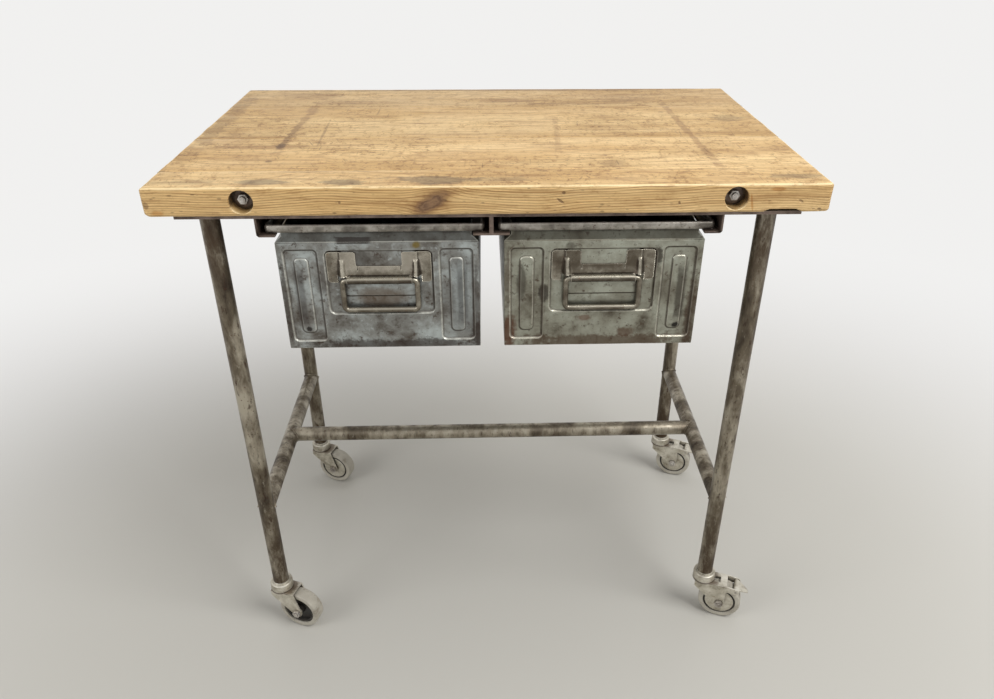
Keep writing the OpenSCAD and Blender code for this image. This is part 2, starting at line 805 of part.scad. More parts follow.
// Brake pedal: a barrel on its pin, a tread that tapers to its tip, and a lobe over the tyre
module caster_pedal(i) {
    w = cheek_y - turn_clear;
    r = pedal_t / 2;
    color(zinc) at_caster(i) difference() {
        union() {
            rod_y(barrel_d / 2, -w, w, pedal_pin_s, pin_z);
            hull() {
                rod_y(r, -w, w, pedal_pin_s + r, pin_z + barrel_d / 2 - r, $fn = 32);
                rod_y(r, -tip_w / 2, tip_w / 2, pedal_reach - r, pin_z - pedal_drop, $fn = 32);
            }
            hull() {
                rod_y(lobe_r, -w / 2, w / 2, pedal_pin_s + 1, pin_z - 1, $fn = 32);
                rod_y(lobe_r, -w / 2, w / 2, pedal_pin_s, lobe_z, $fn = 32);
            }
        }
        rod_y(pedal_pin_d / 2 + run_clear, -fork_w, fork_w, pedal_pin_s, pin_z);
    }
}

module swivel_balls() {
    color(zinc) for (i = [FL, FR, RL, RR]) at_caster(i)
        for (k = [0:ball_n - 1]) rotate([0, 0, 360 * k / ball_n])
            translate([race_r, 0, ball_z]) sphere(d = ball_d);
}

top_board_front();
top_board_second();
top_board_third();
top_board_rear();
tie_rods();
tie_rod_washers();
tie_rod_nuts();
cross_bar(leg_front_y);  // frame_bar_front
cross_bar(leg_rear_y);  // frame_bar_rear
side_bar(-1);  // frame_bar_left
side_bar(1);  // frame_bar_right
frame_screws();
leg(FL);  // leg_front_left
leg(FR);  // leg_front_right
leg(RL);  // leg_rear_left
leg(RR);  // leg_rear_right
side_stretcher(-1);  // stretcher_left
side_stretcher(1);  // stretcher_right
stretcher_centre();
side_rail(-1);  // rail_left
side_rail(1);  // rail_right
rail_centre();
in_slot(-1) drawer_tub();  // drawer_left_tub
in_slot(-1) drawer_front();  // drawer_left_front
in_slot(-1) drawer_rim();  // drawer_left_rim
in_slot(-1) drawer_bracket();  // drawer_left_bracket
in_slot(-1) drawer_bail();  // drawer_left_bail
in_slot(1) drawer_tub();  // drawer_right_tub
in_slot(1) drawer_front();  // drawer_right_front
in_slot(1) drawer_rim();  // drawer_right_rim
in_slot(1) drawer_bracket();  // drawer_right_bracket
in_slot(1) drawer_bail();  // drawer_right_bail
caster_head(FL);  // caster_fl_head
caster_fork(FL, false);  // caster_fl_fork
caster_axle(FL, false);  // caster_fl_axle
caster_guards(FL, false);  // caster_fl_guards
caster_hub(FL);  // caster_fl_hub
caster_tyre(FL);  // caster_fl_tyre
caster_head(FR);  // caster_fr_head
caster_fork(FR, true);  // caster_fr_fork
caster_axle(FR, true);  // caster_fr_axle
caster_guards(FR, true);  // caster_fr_guards
caster_hub(FR);  // caster_fr_hub
caster_tyre(FR);  // caster_fr_tyre
caster_pedal(FR);  // caster_fr_pedal
caster_head(RL);  // caster_rl_head
caster_fork(RL, false);  // caster_rl_fork
caster_axle(RL, false);  // caster_rl_axle
caster_guards(RL, true);  // caster_rl_guards
caster_hub(RL);  // caster_rl_hub
caster_tyre(RL);  // caster_rl_tyre
caster_head(RR);  // caster_rr_head
caster_fork(RR, true);  // caster_rr_fork
caster_axle(RR, true);  // caster_rr_axle
caster_guards(RR, true);  // caster_rr_guards
caster_hub(RR);  // caster_rr_hub
caster_tyre(RR);  // caster_rr_tyre
caster_pedal(RR);  // caster_rr_pedal
swivel_balls();
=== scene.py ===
import json
import math

import bmesh
import bpy
from mathutils import Matrix, Vector, noise


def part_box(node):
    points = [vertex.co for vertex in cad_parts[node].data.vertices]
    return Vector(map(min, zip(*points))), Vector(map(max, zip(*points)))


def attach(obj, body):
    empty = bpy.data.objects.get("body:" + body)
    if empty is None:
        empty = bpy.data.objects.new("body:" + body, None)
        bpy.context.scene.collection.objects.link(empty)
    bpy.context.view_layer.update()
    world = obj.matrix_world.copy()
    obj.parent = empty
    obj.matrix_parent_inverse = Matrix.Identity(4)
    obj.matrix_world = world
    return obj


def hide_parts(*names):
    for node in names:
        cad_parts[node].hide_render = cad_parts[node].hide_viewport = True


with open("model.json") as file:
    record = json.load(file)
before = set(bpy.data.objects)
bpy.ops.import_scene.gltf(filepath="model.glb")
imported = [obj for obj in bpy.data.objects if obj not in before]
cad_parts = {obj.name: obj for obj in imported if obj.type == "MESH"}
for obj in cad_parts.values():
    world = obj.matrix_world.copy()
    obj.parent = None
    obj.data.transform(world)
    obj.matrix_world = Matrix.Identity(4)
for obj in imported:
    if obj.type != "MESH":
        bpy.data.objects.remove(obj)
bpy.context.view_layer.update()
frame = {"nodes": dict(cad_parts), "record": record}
cadNodes = frame["nodes"]
scene = bpy.context.scene
bodyOf = {name: body for body, names in frame["record"]["behaviour"]["bodies"].items() for name in names}
print("frame loaded,", len(cadNodes), "nodes")


# Camera, fitted to the table's corners and wheels in a frame of 994 by 699
camera = {"place": (-0.0074925, -1.2824641, 1.1762222), "yaw": -0.0354, "pitch": 0.5291, "roll": 0.0040,
          "focal": 793.9324, "middle": (511.8, 350.2191), "frame": (994, 699), "sensor": 36.0}


def aimCamera(view):
    yaw, pitch, roll = view["yaw"], view["pitch"], view["roll"]
    ahead = Vector((-math.sin(yaw) * math.cos(pitch), math.cos(yaw) * math.cos(pitch), -math.sin(pitch)))
    side = Vector((math.cos(yaw), math.sin(yaw), 0))
    above = side.cross(ahead)
    turnedSide = math.cos(roll) * side + math.sin(roll) * above
    turnedAbove = math.cos(roll) * above - math.sin(roll) * side
    wide, tall = view["frame"]
    data = bpy.data.cameras.new("camera")
    data.sensor_width = view["sensor"]
    data.lens = view["focal"] * view["sensor"] / wide
    data.shift_x = (wide / 2 - view["middle"][0]) / wide
    data.shift_y = (view["middle"][1] - tall / 2) / wide
    eye = bpy.data.objects.new("camera", data)
    turn = Matrix((turnedSide, turnedAbove, -ahead)).transposed().to_4x4()
    turn.translation = Vector(view["place"])
    eye.matrix_world = turn
    scene.collection.objects.link(eye)
    scene.camera = eye


# Light: an even pale room, a large soft key from above on the right and a weaker fill
light = {"room": 0.37, "air": (1.0, 0.985, 0.965, 1), "wall": (0.88, 0.875, 0.865, 1),
         "key": {"place": (1.7, -1.3, 2.6), "aim": (0.1, 0.0, 0.5), "size": 1.6, "power": 56},
         "fill": {"place": (-2.3, -1.4, 1.6), "aim": (0.0, 0.0, 0.55), "size": 1.4, "power": 20},
         "top": {"place": (0.1, 0.3, 2.8), "aim": (0.0, 0.0, 0.8), "size": 2.2, "power": 19.5}}


def hangLamp(name, lamp):
    data = bpy.data.lights.new(name, "AREA")
    data.shape = "SQUARE"
    data.size = lamp["size"]
    data.energy = lamp["power"]
    thing = bpy.data.objects.new(name, data)
    thing.location = lamp["place"]
    thing.rotation_euler = (Vector(lamp["aim"]) - Vector(lamp["place"])).to_track_quat("-Z", "Y").to_euler()
    scene.collection.objects.link(thing)


def lightRoom():
    world = bpy.data.worlds.new("room")
    world.use_nodes = True
    tree = world.node_tree
    air = tree.nodes["Background"]
    connect(light["air"], air, "Color")
    connect(light["room"], air, "Strength")
    # The wall's colour is for the camera and for what the metal mirrors: it doesn't light the table
    wall = fromNode(tree, "ShaderNodeBackground", 0, {"Color": light["wall"]})
    connect(eitherShader(seenDirectly(tree), air.outputs[0], wall), tree.nodes["World Output"], "Surface")
    scene.world = world
    for name in ("key", "fill", "top"):
        hangLamp(name, light[name])
    scene.view_settings.view_transform = "Standard"


# Node helpers. A Wire is a node's output, and arithmetic on it adds math nodes
class Wire:
    def __init__(self, socket):
        self.socket, self.tree = socket, socket.id_data

    def __add__(self, other):
        return calc("ADD", self, other)

    def __radd__(self, other):
        return calc("ADD", other, self)

    def __sub__(self, other):
        return calc("SUBTRACT", self, other)

    def __rsub__(self, other):
        return calc("SUBTRACT", other, self)

    def __mul__(self, other):
        return calc("MULTIPLY", self, other)

    def __truediv__(self, other):
        return calc("DIVIDE", self, other)

    def __pow__(self, other):
        return calc("POWER", self, other)

    def __abs__(self):
        return calc("ABSOLUTE", self)


def connect(value, node, name):
    if isinstance(value, Wire):
        value = value.socket
    if isinstance(value, bpy.types.NodeSocket):
        value.id_data.links.new(value, node.inputs[name])
    else:
        node.inputs[name].default_value = value


def addNode(tree, kind, wires=None, **settings):
    node = tree.nodes.new(kind)
    for name, value in settings.items():
        setattr(node, name, value)
    for name, value in (wires or {}).items():
        connect(value, node, name)
    return node


def fromNode(tree, kind, output, wires=None, **settings):
    return Wire(addNode(tree, kind, wires, **settings).outputs[output])


def treeOf(*values):
    return next(value.tree for value in values if isinstance(value, Wire))


def calc(operation, first, second=0.0, clamp=False):
    wires = {0: first, 1: second}
    return fromNode(treeOf(first, second), "ShaderNodeMath", 0, wires, operation=operation, use_clamp=clamp)


def most(first, *others):
    for other in others:
        first = calc("MAXIMUM", first, other)
    return first


def distance(across, along):
    return calc("SQRT", across ** 2.0 + along ** 2.0)


def span(value, low, high, start=0.0, end=1.0):
    wires = {"Value": value, "From Min": low, "From Max": high, "To Min": start, "To Max": end}
    return fromNode(value.tree, "ShaderNodeMapRange", "Result", wires, interpolation_type="SMOOTHSTEP")


# Colours
def tone(red, green, blue):
    return tuple(c / 12.92 if c <= 0.04045 else ((c + 0.055) / 1.055) ** 2.4
                 for c in (red / 255, green / 255, blue / 255)) + (1.0,)


def mixed(amount, first, second, mode="MIX"):
    wires = {0: amount, 6: first, 7: second}
    return fromNode(treeOf(amount, first, second), "ShaderNodeMix", 2, wires, data_type="RGBA", blend_type=mode)


def shaded(colour, tint):
    return mixed(1.0, colour, tint + (1,), "MULTIPLY")


def tinted(colour, amount, tint):
    return mixed(amount, colour, shaded(colour, tint))


def laid(colour, amount, paint):
    return mixed(amount, colour, tone(*paint))


def ramp(value, stops):
    node = addNode(value.tree, "ShaderNodeValToRGB", {"Fac": value})
    elements = node.color_ramp.elements
    while len(elements) < len(stops):
        elements.new(0.5)
    for element, (spot, paint) in zip(elements, stops):
        element.position = spot
        element.color = tone(*paint)
    return Wire(node.outputs["Color"])


# Patterns and places on a piece
def mapped(place, shift=(0, 0, 0), turn=(0, 0, 0), stretch=(1, 1, 1), kind="POINT"):
    wires = {"Vector": place, "Location": shift, "Rotation": turn, "Scale": stretch}
    return fromNode(place.tree, "ShaderNodeMapping", "Vector", wires, vector_type=kind)


def cloud(place, scale, detail=4.0, rough=0.55, stretch=(1, 1, 1), shift=(0, 0, 0), warp=0.0):
    spot = mapped(place, shift=shift, stretch=stretch)
    wires = {"Vector": spot, "Scale": scale, "Detail": detail, "Roughness": rough, "Distortion": warp}
    return fromNode(place.tree, "ShaderNodeTexNoise", "Fac", wires)


def specks(place, scale, size, share, shift=(0, 0, 0), stretch=(1, 1, 1)):
    spot = mapped(place, shift=shift, stretch=stretch)
    cells = addNode(place.tree, "ShaderNodeTexVoronoi", {"Vector": spot, "Scale": scale}).outputs
    pick = fromNode(place.tree, "ShaderNodeSeparateColor", "Red", {"Color": cells["Color"]})
    return span(Wire(cells["Distance"]), size, size * 0.4) * calc("LESS_THAN", pick, share)


def objectPlace(tree):
    return fromNode(tree, "ShaderNodeTexCoord", "Object")


def axes(vector):
    parts = addNode(vector.tree, "ShaderNodeSeparateXYZ", {"Vector": vector}).outputs
    return [Wire(parts[letter]) for letter in "XYZ"]


def facing(tree):
    return axes(fromNode(tree, "ShaderNodeNewGeometry", "Normal"))


def sharpEdges(tree, radius, low=0.03, high=0.25):
    soft = fromNode(tree, "ShaderNodeBevel", 0, {"Radius": radius}, samples=6)
    flat = fromNode(tree, "ShaderNodeNewGeometry", "Normal")
    match = fromNode(tree, "ShaderNodeVectorMath", "Value", {0: soft, 1: flat}, operation="DOT_PRODUCT")
    return span(match, 1.0 - low, 1.0 - high)


def crevices(tree, reach, low=0.75, high=0.3):
    return span(fromNode(tree, "ShaderNodeAmbientOcclusion", "AO", {"Distance": reach}, samples=8), low, high)


def seenDirectly(tree):
    path = addNode(tree, "ShaderNodeLightPath").outputs
    return most(Wire(path["Is Camera Ray"]), Wire(path["Is Glossy Ray"]), Wire(path["Is Transmission Ray"]))


def eitherShader(share, first, second):
    return fromNode(share.tree, "ShaderNodeMixShader", 0, {0: share, 1: first, 2: second})


def relief(shader, height, depth, strength=1.0):
    wires = {"Height": height, "Distance": depth, "Strength": strength}
    connect(fromNode(height.tree, "ShaderNodeBump", "Normal", wires), shader, "Normal")


def newMaterial(name, metallic, roughness):
    material = bpy.data.materials.new(name)
    material.use_nodes = True
    tree = material.node_tree
    shader = tree.nodes["Principled BSDF"]
    connect(metallic, shader, "Metallic")
    connect(roughness, shader, "Roughness")
    return material, tree, shader


aimCamera(camera)
lightRoom()
print("camera and light set")


# A stain, and each band of painted shade and painted highlight on the drawer fronts and brackets, is an ellipse or a
# bar with a torn edge, drawn from its middle, half sizes and turn
woodColumns = ("at", "half", "tint", "dark", "torn", "turn", "bar")
steelColumns = ("at", "half", "colour", "dark", "reach", "torn", "bar", "soft", "cover", "deep")
frontY, topZ = -0.285, 0.84
stainReach = {"top": 0.06, "front": 0.012}


def listed(columns, rows, **usual):
    return [usual | dict(zip(columns, row)) for row in rows]


def stainMask(place, stain, tear, plane="top"):
    across, along = stain["half"]
    middle = stain["at"]
    turn = math.radians(stain.get("turn", 0))
    if plane == "top":
        spot = mapped(place, (middle[0], middle[1], topZ), (0, 0, turn), (across, along, stainReach[plane]), "TEXTURE")
    else:
        spot = mapped(place, (middle[0], stain.get("deep", frontY), middle[1]), (0, turn, 0),
                      (across, stain.get("reach", stainReach[plane]), along), "TEXTURE")
    if stain.get("bar"):
        size = fromNode(place.tree, "ShaderNodeVectorMath", "Vector", {0: spot}, operation="ABSOLUTE")
        far = most(*axes(size))
    else:
        far = fromNode(place.tree, "ShaderNodeVectorMath", "Value", {0: spot}, operation="LENGTH")
    torn = far + (tear - 0.5) * stain.get("torn", 1.2)
    return span(torn, 1.0, 1.0 - stain.get("soft", 0.5)) * stain.get("dark", 1.0)


# Mesh helpers
def meshObject(name, bm):
    mesh = bpy.data.meshes.new(name)
    bm.to_mesh(mesh)
    bm.free()
    thing = bpy.data.objects.new(name, mesh)
    scene.collection.objects.link(thing)
    return thing


def newPiece(name, bm, material, nodes=(), body=None, angle=38):
    piece = meshObject(name, bm)
    piece.data.materials.append(material)
    piece.data.shade_smooth()
    piece.data.set_sharp_from_angle(angle=math.radians(angle))
    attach(piece, body or bodyOf[nodes[0]])
    if nodes:
        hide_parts(*nodes)
    return piece


def pressedPiece(name, bm, material, node, thickness):
    bm.normal_update()
    if sum(face.normal.y for face in bm.faces) > 0:
        bmesh.ops.reverse_faces(bm, faces=bm.faces[:])
    piece = newPiece(name, bm, material, (node,), angle=60)
    sheet = piece.modifiers.new("sheet", "SOLIDIFY")
    sheet.thickness = thickness
    sheet.offset = -1.0
    return piece


def roundEdges(piece, width, segments, limit, harden=True):
    bevel = piece.modifiers.new("rounded", "BEVEL")
    bevel.width = width
    bevel.segments = segments
    bevel.limit_method = "ANGLE"
    bevel.angle_limit = math.radians(limit)
    bevel.harden_normals = harden


def bakeModifiers(piece):
    bpy.context.view_layer.update()
    shown = piece.evaluated_get(bpy.context.evaluated_depsgraph_get())
    mesh = bpy.data.meshes.new_from_object(shown)
    old = piece.data
    piece.modifiers.clear()
    piece.data = mesh
    bpy.data.meshes.remove(old)


def cutAt(bm, axis, places):
    normal = Vector([1 if i == axis else 0 for i in range(3)])
    for place in places:
        everything = bm.verts[:] + bm.edges[:] + bm.faces[:]
        bmesh.ops.bisect_plane(bm, geom=everything, dist=1e-7, plane_co=normal * place, plane_no=normal)


def ragged(point, scale, seed):
    return noise.noise(point * scale + Vector((seed, -seed, 3 * seed)))


def easeStep(value):
    value = max(0.0, min(1.0, value))
    return value * value * (3 - 2 * value)


def softened(node, material, width, segments=2, angle=38, limit=30):
    bm = bmesh.new()
    bm.from_mesh(cadNodes[node].data)
    bmesh.ops.remove_doubles(bm, verts=bm.verts[:], dist=1e-5)
    bmesh.ops.dissolve_limit(bm, angle_limit=math.radians(0.5), use_dissolve_boundaries=False,
                             verts=bm.verts[:], edges=bm.edges[:])
    roundEdges(newPiece(node + "_soft", bm, material, (node,), angle=angle), width, segments, limit)


def paintNode(node, material):
    mesh = cadNodes[node].data
    mesh.materials.clear()
    mesh.materials.append(material)


# Pine boards: grain from rings round a wandering heart, worn fibres, dirt, stripes and knots
pine = {"pale": (233, 202, 148), "warm": (210, 174, 117), "late": (150, 108, 56), "streak": (160, 120, 68),
        "markAndShade": (92, 68, 42), "wearAndHighlight": (250, 226, 176), "bore": (46, 34, 25), "ring": 0.0034,
        "endWear": (0.442, 0.447), "sideWear": (0.275, 0.28)}
boards = {
    "top_board_front": {"heart": (-0.262, 0.716), "seed": 1.3, "tint": (1.0, 1.0, 1.0), "outer": ("front",)},
    "top_board_second": {"heart": (-0.150, 0.735), "seed": 4.1, "tint": (1.0, 1.0, 1.0), "outer": ()},
    "top_board_third": {"heart": (0.060, 0.700), "seed": 7.7, "tint": (0.92, 0.92, 0.91), "outer": ()},
    "top_board_rear": {"heart": (0.235, 0.745), "seed": 9.2, "tint": (0.80, 0.79, 0.79), "outer": ("rear",)},
}
brown, soot, grey, amber = (0.60, 0.52, 0.46), (0.42, 0.37, 0.34), (0.50, 0.51, 0.53), (0.78, 0.60, 0.40)
topStains = listed(woodColumns, [
    ((-0.307, 0.0), (0.0085, 0.205), brown, 0.5, 2.4, -1.4, True),
    ((-0.309, -0.03), (0.006, 0.1), soot, 0.45, 2.0, -1.4, True), ((-0.311, -0.095), (0.009, 0.017), soot, 0.85, 0.9),
    ((-0.312, -0.172), (0.006, 0.006), soot, 0.9, 0.7), ((-0.303, 0.12), (0.014, 0.05), brown, 0.5, 1.5),
    ((0.316, -0.028), (0.0075, 0.24), brown, 0.75, 1.9, 1.3, True),
    ((0.106, -0.035), (0.006, 0.14), brown, 0.4, 1.8, -3.0, True),
    ((-0.26, -0.02), (0.0028, 0.09), soot, 0.5, 1.6, 2.0), ((-0.189, 0.11), (0.0018, 0.034), soot, 0.5, 1.0, -1.0),
    ((-0.106, 0.212), (0.01, 0.004), soot, 0.8, 0.9), ((-0.055, 0.15), (0.004, 0.003), soot, 0.8, 0.8),
    ((0.297, 0.1), (0.007, 0.0035), soot, 0.9, 0.6), ((-0.297, -0.262), (0.04, 0.015), grey, 1.0, 2.0),
    ((-0.192, -0.265), (0.034, 0.014), grey, 1.0, 2.0), ((-0.078, -0.258), (0.066, 0.02), grey, 1.0, 2.2),
    ((0.176, -0.19), (0.024, 0.02), soot, 0.35, 2.4), ((0.425, -0.121), (0.05, 0.02), brown, 0.45, 1.8),
    ((0.416, -0.253), (0.046, 0.014), grey, 0.75, 1.6), ((0.405, 0.057), (0.04, 0.022), grey, 0.6, 1.8),
    ((0.251, 0.206), (0.07, 0.04), brown, 0.45, 1.8), ((-0.342, -0.1), (0.095, 0.013), brown, 0.85, 1.4),
    ((-0.395, -0.06), (0.04, 0.05), brown, 0.45, 1.8), ((-0.434, 0.04), (0.016, 0.23), soot, 0.45, 2.6, 0, True),
    ((-0.33, 0.235), (0.07, 0.03), brown, 0.55, 1.7), ((-0.4, -0.262), (0.06, 0.014), grey, 0.45, 1.8),
    ((-0.2, -0.09), (0.06, 0.006), brown, 0.5, 1.6), ((-0.12, 0.03), (0.05, 0.005), brown, 0.5, 1.6),
    ((0.03, 0.19), (0.06, 0.02), brown, 0.5, 1.8), ((0.02, -0.258), (0.05, 0.014), grey, 0.45, 1.8),
    ((-0.23, 0.18), (0.11, 0.018), brown, 0.5, 1.6), ((0.067, -0.219), (0.006, 0.006), soot, 0.4, 0.9),
    ((-0.1, -0.097), (0.034, 0.0022), soot, 0.55, 1.0), ((0.0, 0.278), (0.47, 0.013), soot, 0.6, 1.5, 0, True),
    ((0.15, 0.165), (0.12, 0.008), brown, 0.4, 1.6),
])
frontStains = listed(woodColumns, [
    ((0.095, 0.83), (0.003, 0.0022), soot, 1.0, 0.6), ((0.091, 0.819), (0.007, 0.0022), soot, 1.0, 0.8, 35),
    ((0.249, 0.815), (0.002, 0.0034), soot, 1.0, 0.6, -20), ((-0.198, 0.819), (0.002, 0.0024), soot, 0.9, 0.6),
    ((0.346, 0.815), (0.0018, 0.015), amber, 0.9, 0.9, -12), ((0.379, 0.833), (0.014, 0.0034), amber, 0.9, 0.9),
    ((0.412, 0.816), (0.005, 0.002), soot, 0.7, 0.8, 30), ((-0.448, 0.816), (0.005, 0.006), soot, 0.7, 1.0),
    ((-0.435, 0.806), (0.012, 0.005), amber, 0.8, 1.2), ((-0.415, 0.83), (0.004, 0.0014), soot, 0.7, 0.8),
    ((-0.385, 0.831), (0.004, 0.0014), soot, 0.7, 0.8), ((-0.365, 0.806), (0.022, 0.003), soot, 0.35, 1.5),
])
rodHoles = {"x": 0.3255, "z": 0.82025, "counterbore": 0.016, "depth": 0.020, "flare": 0.0007, "bore": 0.0045,
            "dark": 0.0167, "fade": (0.2842, 0.278), "steps": 48}
knot = {"at": (-0.0780, 0.8185), "half": (0.0140, 0.0310), "turn": 56, "reach": 0.03, "body": 0.05,
        "dark": (92, 65, 44), "light": (144, 111, 78), "edge": (96, 66, 44)}


def pineMaterial(name, board):
    material, tree, shader = newMaterial("pine_" + name, 0.0, 0.5)
    seed = board["seed"]
    place = objectPlace(tree)
    x, y, z = axes(place)
    lookX, _, lookZ = facing(tree)
    level = span(lookZ, 0.35, 0.85)
    # The grain lines part round the knot
    bend = stainMask(place, {"at": knot["at"], "half": (0.06, 0.034), "turn": -20, "torn": 0.0, "soft": 1.0,
                             "reach": 0.05}, 0.5, "front")
    lift = (z - knot["at"][1]) * (bend * 0.75)
    bentZ = z - lift
    driftY = cloud(place, 1.0, 2.0, 0.5, (2.4, 0.02, 0.02), (seed, 0, 0))
    driftZ = cloud(place, 1.0, 2.0, 0.5, (3.1, 0.02, 0.02), (seed + 5, 0, 0))
    ripple = cloud(place, 1.0, 3.0, 0.5, (9.0, 42.0, 42.0), (seed, 2, 1))
    heartY = board["heart"][0] + (driftY - 0.5) * 0.1
    heartZ = board["heart"][1] + (driftZ - 0.5) * 0.045
    offY = y - heartY
    offZ = bentZ - heartZ
    radius = distance(offY, offZ) + ripple * 0.0045
    turns = radius / pine["ring"]
    ring = calc("FRACT", turns)
    year = fromNode(tree, "ShaderNodeTexWhiteNoise", "Value", {"W": calc("FLOOR", turns)}, noise_dimensions="1D")
    late = span(ring, 0.5, 0.88) * span(ring, 1.0, 0.93)
    late = late * span(year, 0.0, 1.0, 0.45, 1.0)
    broad = cloud(place, 1.0, 3.0, 0.55, (2.6, 16.0, 16.0), (seed, 0, 3))
    fibre = cloud(place, 1.0, 4.0, 0.62, (14.0, 850.0, 850.0), (0, seed, 0))
    streak = cloud(place, 1.0, 3.0, 0.6, (7.0, 95.0, 150.0), (0, seed, 4))
    patch = cloud(place, 9.0, 5.0, 0.6, (0.55, 1.0, 1.0), (seed, 1, 0), 0.5)
    colour = mixed(span(broad, 0.36, 0.66), tone(*pine["pale"]), tone(*pine["warm"]))
    ringStrength = late * span(level, 0.0, 1.0, 0.92, 0.4)
    colour = laid(colour, ringStrength, pine["late"])
    colour = laid(colour, span(streak, 0.48, 0.7, 0.0, 0.55), pine["streak"])
    dark, bright = shaded(colour, (0.72, 0.68, 0.62)), shaded(colour, (1.12, 1.12, 1.11))
    colour = mixed(span(fibre, 0.3, 0.7), dark, bright)
    # Dirt rubbed into the top: soft patches, short dark dashes along the grain and a fine mottle
    dirt = span(patch, 0.48, 0.72) * (level * 0.6)
    colour = tinted(colour, dirt, (0.62, 0.56, 0.49))
    grime = cloud(place, 1.0, 6.0, 0.72, (42.0, 48.0, 130.0), (0, 0, seed))
    colour = tinted(colour, span(grime, 0.53, 0.68, 0.0, 0.62), (0.66, 0.57, 0.46))
    mottle = cloud(place, 1.0, 4.0, 0.7, (110.0, 80.0, 260.0), (seed, 0, 2))
    crowd = span(patch, 0.36, 0.62, 0.35, 1.0) * span(level, 0.0, 1.0, 0.25, 1.0)
    colour = tinted(colour, span(mottle, 0.53, 0.64) * crowd, (0.66, 0.58, 0.49))
    dashes = cloud(place, 1.0, 3.0, 0.65, (170.0, 115.0, 420.0), (0, seed, 7))
    dashes = span(dashes, 0.61, 0.67) * (crowd * 0.85)
    colour = tinted(colour, dashes, (0.5, 0.42, 0.34))
    colour = tinted(colour, span(mottle, 0.44, 0.32, 0.0, 0.5), (1.1, 1.1, 1.1))
    tear = cloud(place, 60.0, 5.0, 0.65, (0.6, 1.0, 1.0), (seed, seed, 0))
    low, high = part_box(name)
    for stain in topStains:
        if low.y - 0.02 < stain["at"][1] + stain["half"][1] and stain["at"][1] - stain["half"][1] < high.y + 0.02:
            mask = stainMask(place, stain, tear) * level
            colour = tinted(colour, mask, stain["tint"])
    pits = specks(place, 80.0, 0.2, 0.16, (seed, 0, 0), (0.6, 1.2, 1.2))
    nicks = specks(place, 210.0, 0.28, 0.16, (0, seed, 0), (0.4, 1.2, 1.2))
    marks = most(pits * 0.7, nicks * 0.6)
    marks = marks * span(patch, 0.36, 0.62, 0.35, 1.0)
    # Scratches from front to back
    scores = cloud(place, 1.0, 2.0, 0.5, (330.0, 14.0, 1.0), (seed, 0, 0))
    slants = cloud(mapped(place, turn=(0, 0, -0.4)), 1.0, 2.0, 0.5, (300.0, 18.0, 1.0), (seed, 3, 0))
    scored = span(most(scores, slants), 0.68, 0.76) * level
    scored = scored * span(patch, 0.42, 0.6, 0.15, 1.0)
    cracks = cloud(place, 1.0, 4.0, 0.72, (60.0, 150.0, 620.0), (seed, 5, 0))
    cracks = span(cracks, 0.61, 0.67) * span(patch, 0.34, 0.56, 0.25, 1.0)
    scored = most(scored, cracks * level)
    colour = laid(colour, most(marks, scored * 0.55), pine["markAndShade"])
    height = fibre * 0.5 + late * 0.35
    height = height - (marks * 2.2 + scored * 0.8)
    if "front" in board["outer"]:
        colour, height = frontFace(place, colour, height, tear)
    # End grain is darker; edges are worn pale, and the pale paint on the edges and their rounded bands is partly a
    # painted highlight
    ends = span(abs(lookX), 0.5, 0.9)
    colour = tinted(colour, ends * 0.55, (0.7, 0.6, 0.5))
    wearAndHighlight = sharpEdges(tree, 0.004, 0.02, 0.16) * span(patch, 0.3, 0.52, 1.0, 0.55)
    wearAndHighlight = wearAndHighlight * span(lookZ, -0.1, 0.3)
    roundedWearAndHighlight = span(lookZ, 0.25, 0.6) * span(lookZ, 0.99, 0.93)
    wearAndHighlight = most(wearAndHighlight, roundedWearAndHighlight * span(grime, 0.6, 0.5, 0.45, 1.0))
    outside = most(span(abs(x), *pine["endWear"]), span(abs(y), *pine["sideWear"]))
    wearAndHighlight = wearAndHighlight * outside
    colour = laid(colour, wearAndHighlight * 0.72, pine["wearAndHighlight"])
    # Crevices get painted shade from ambient occlusion
    colour = laid(colour, crevices(tree, 0.01, 0.62, 0.25) * 0.6, pine["markAndShade"])
    if board["outer"]:
        # Inside the counterbores the wood is painted dark as shade, and the walls that face up are painted lit
        fromRod = (abs(x) - rodHoles["x"]) ** 2.0 + (z - rodHoles["z"]) ** 2.0
        bore = calc("LESS_THAN", fromRod, rodHoles["dark"] ** 2) * span(abs(y), *rodHoles["fade"])
        lit = span(lookZ, 0.25, 0.75) * span(tear, 0.6, 0.42, 0.35, 1.0)
        hole = mixed(lit, tone(*pine["bore"]), tone(*pine["warm"]))
        colour = mixed(bore * span(tear, 0.35, 0.65, 0.75, 0.95), colour, hole)
    colour = shaded(colour, board["tint"])
    connect(colour, shader, "Base Color")
    connect(span(patch, 0.35, 0.7, 0.46, 0.6), shader, "Roughness")
    relief(shader, height, 0.0006, 0.55)
    return material


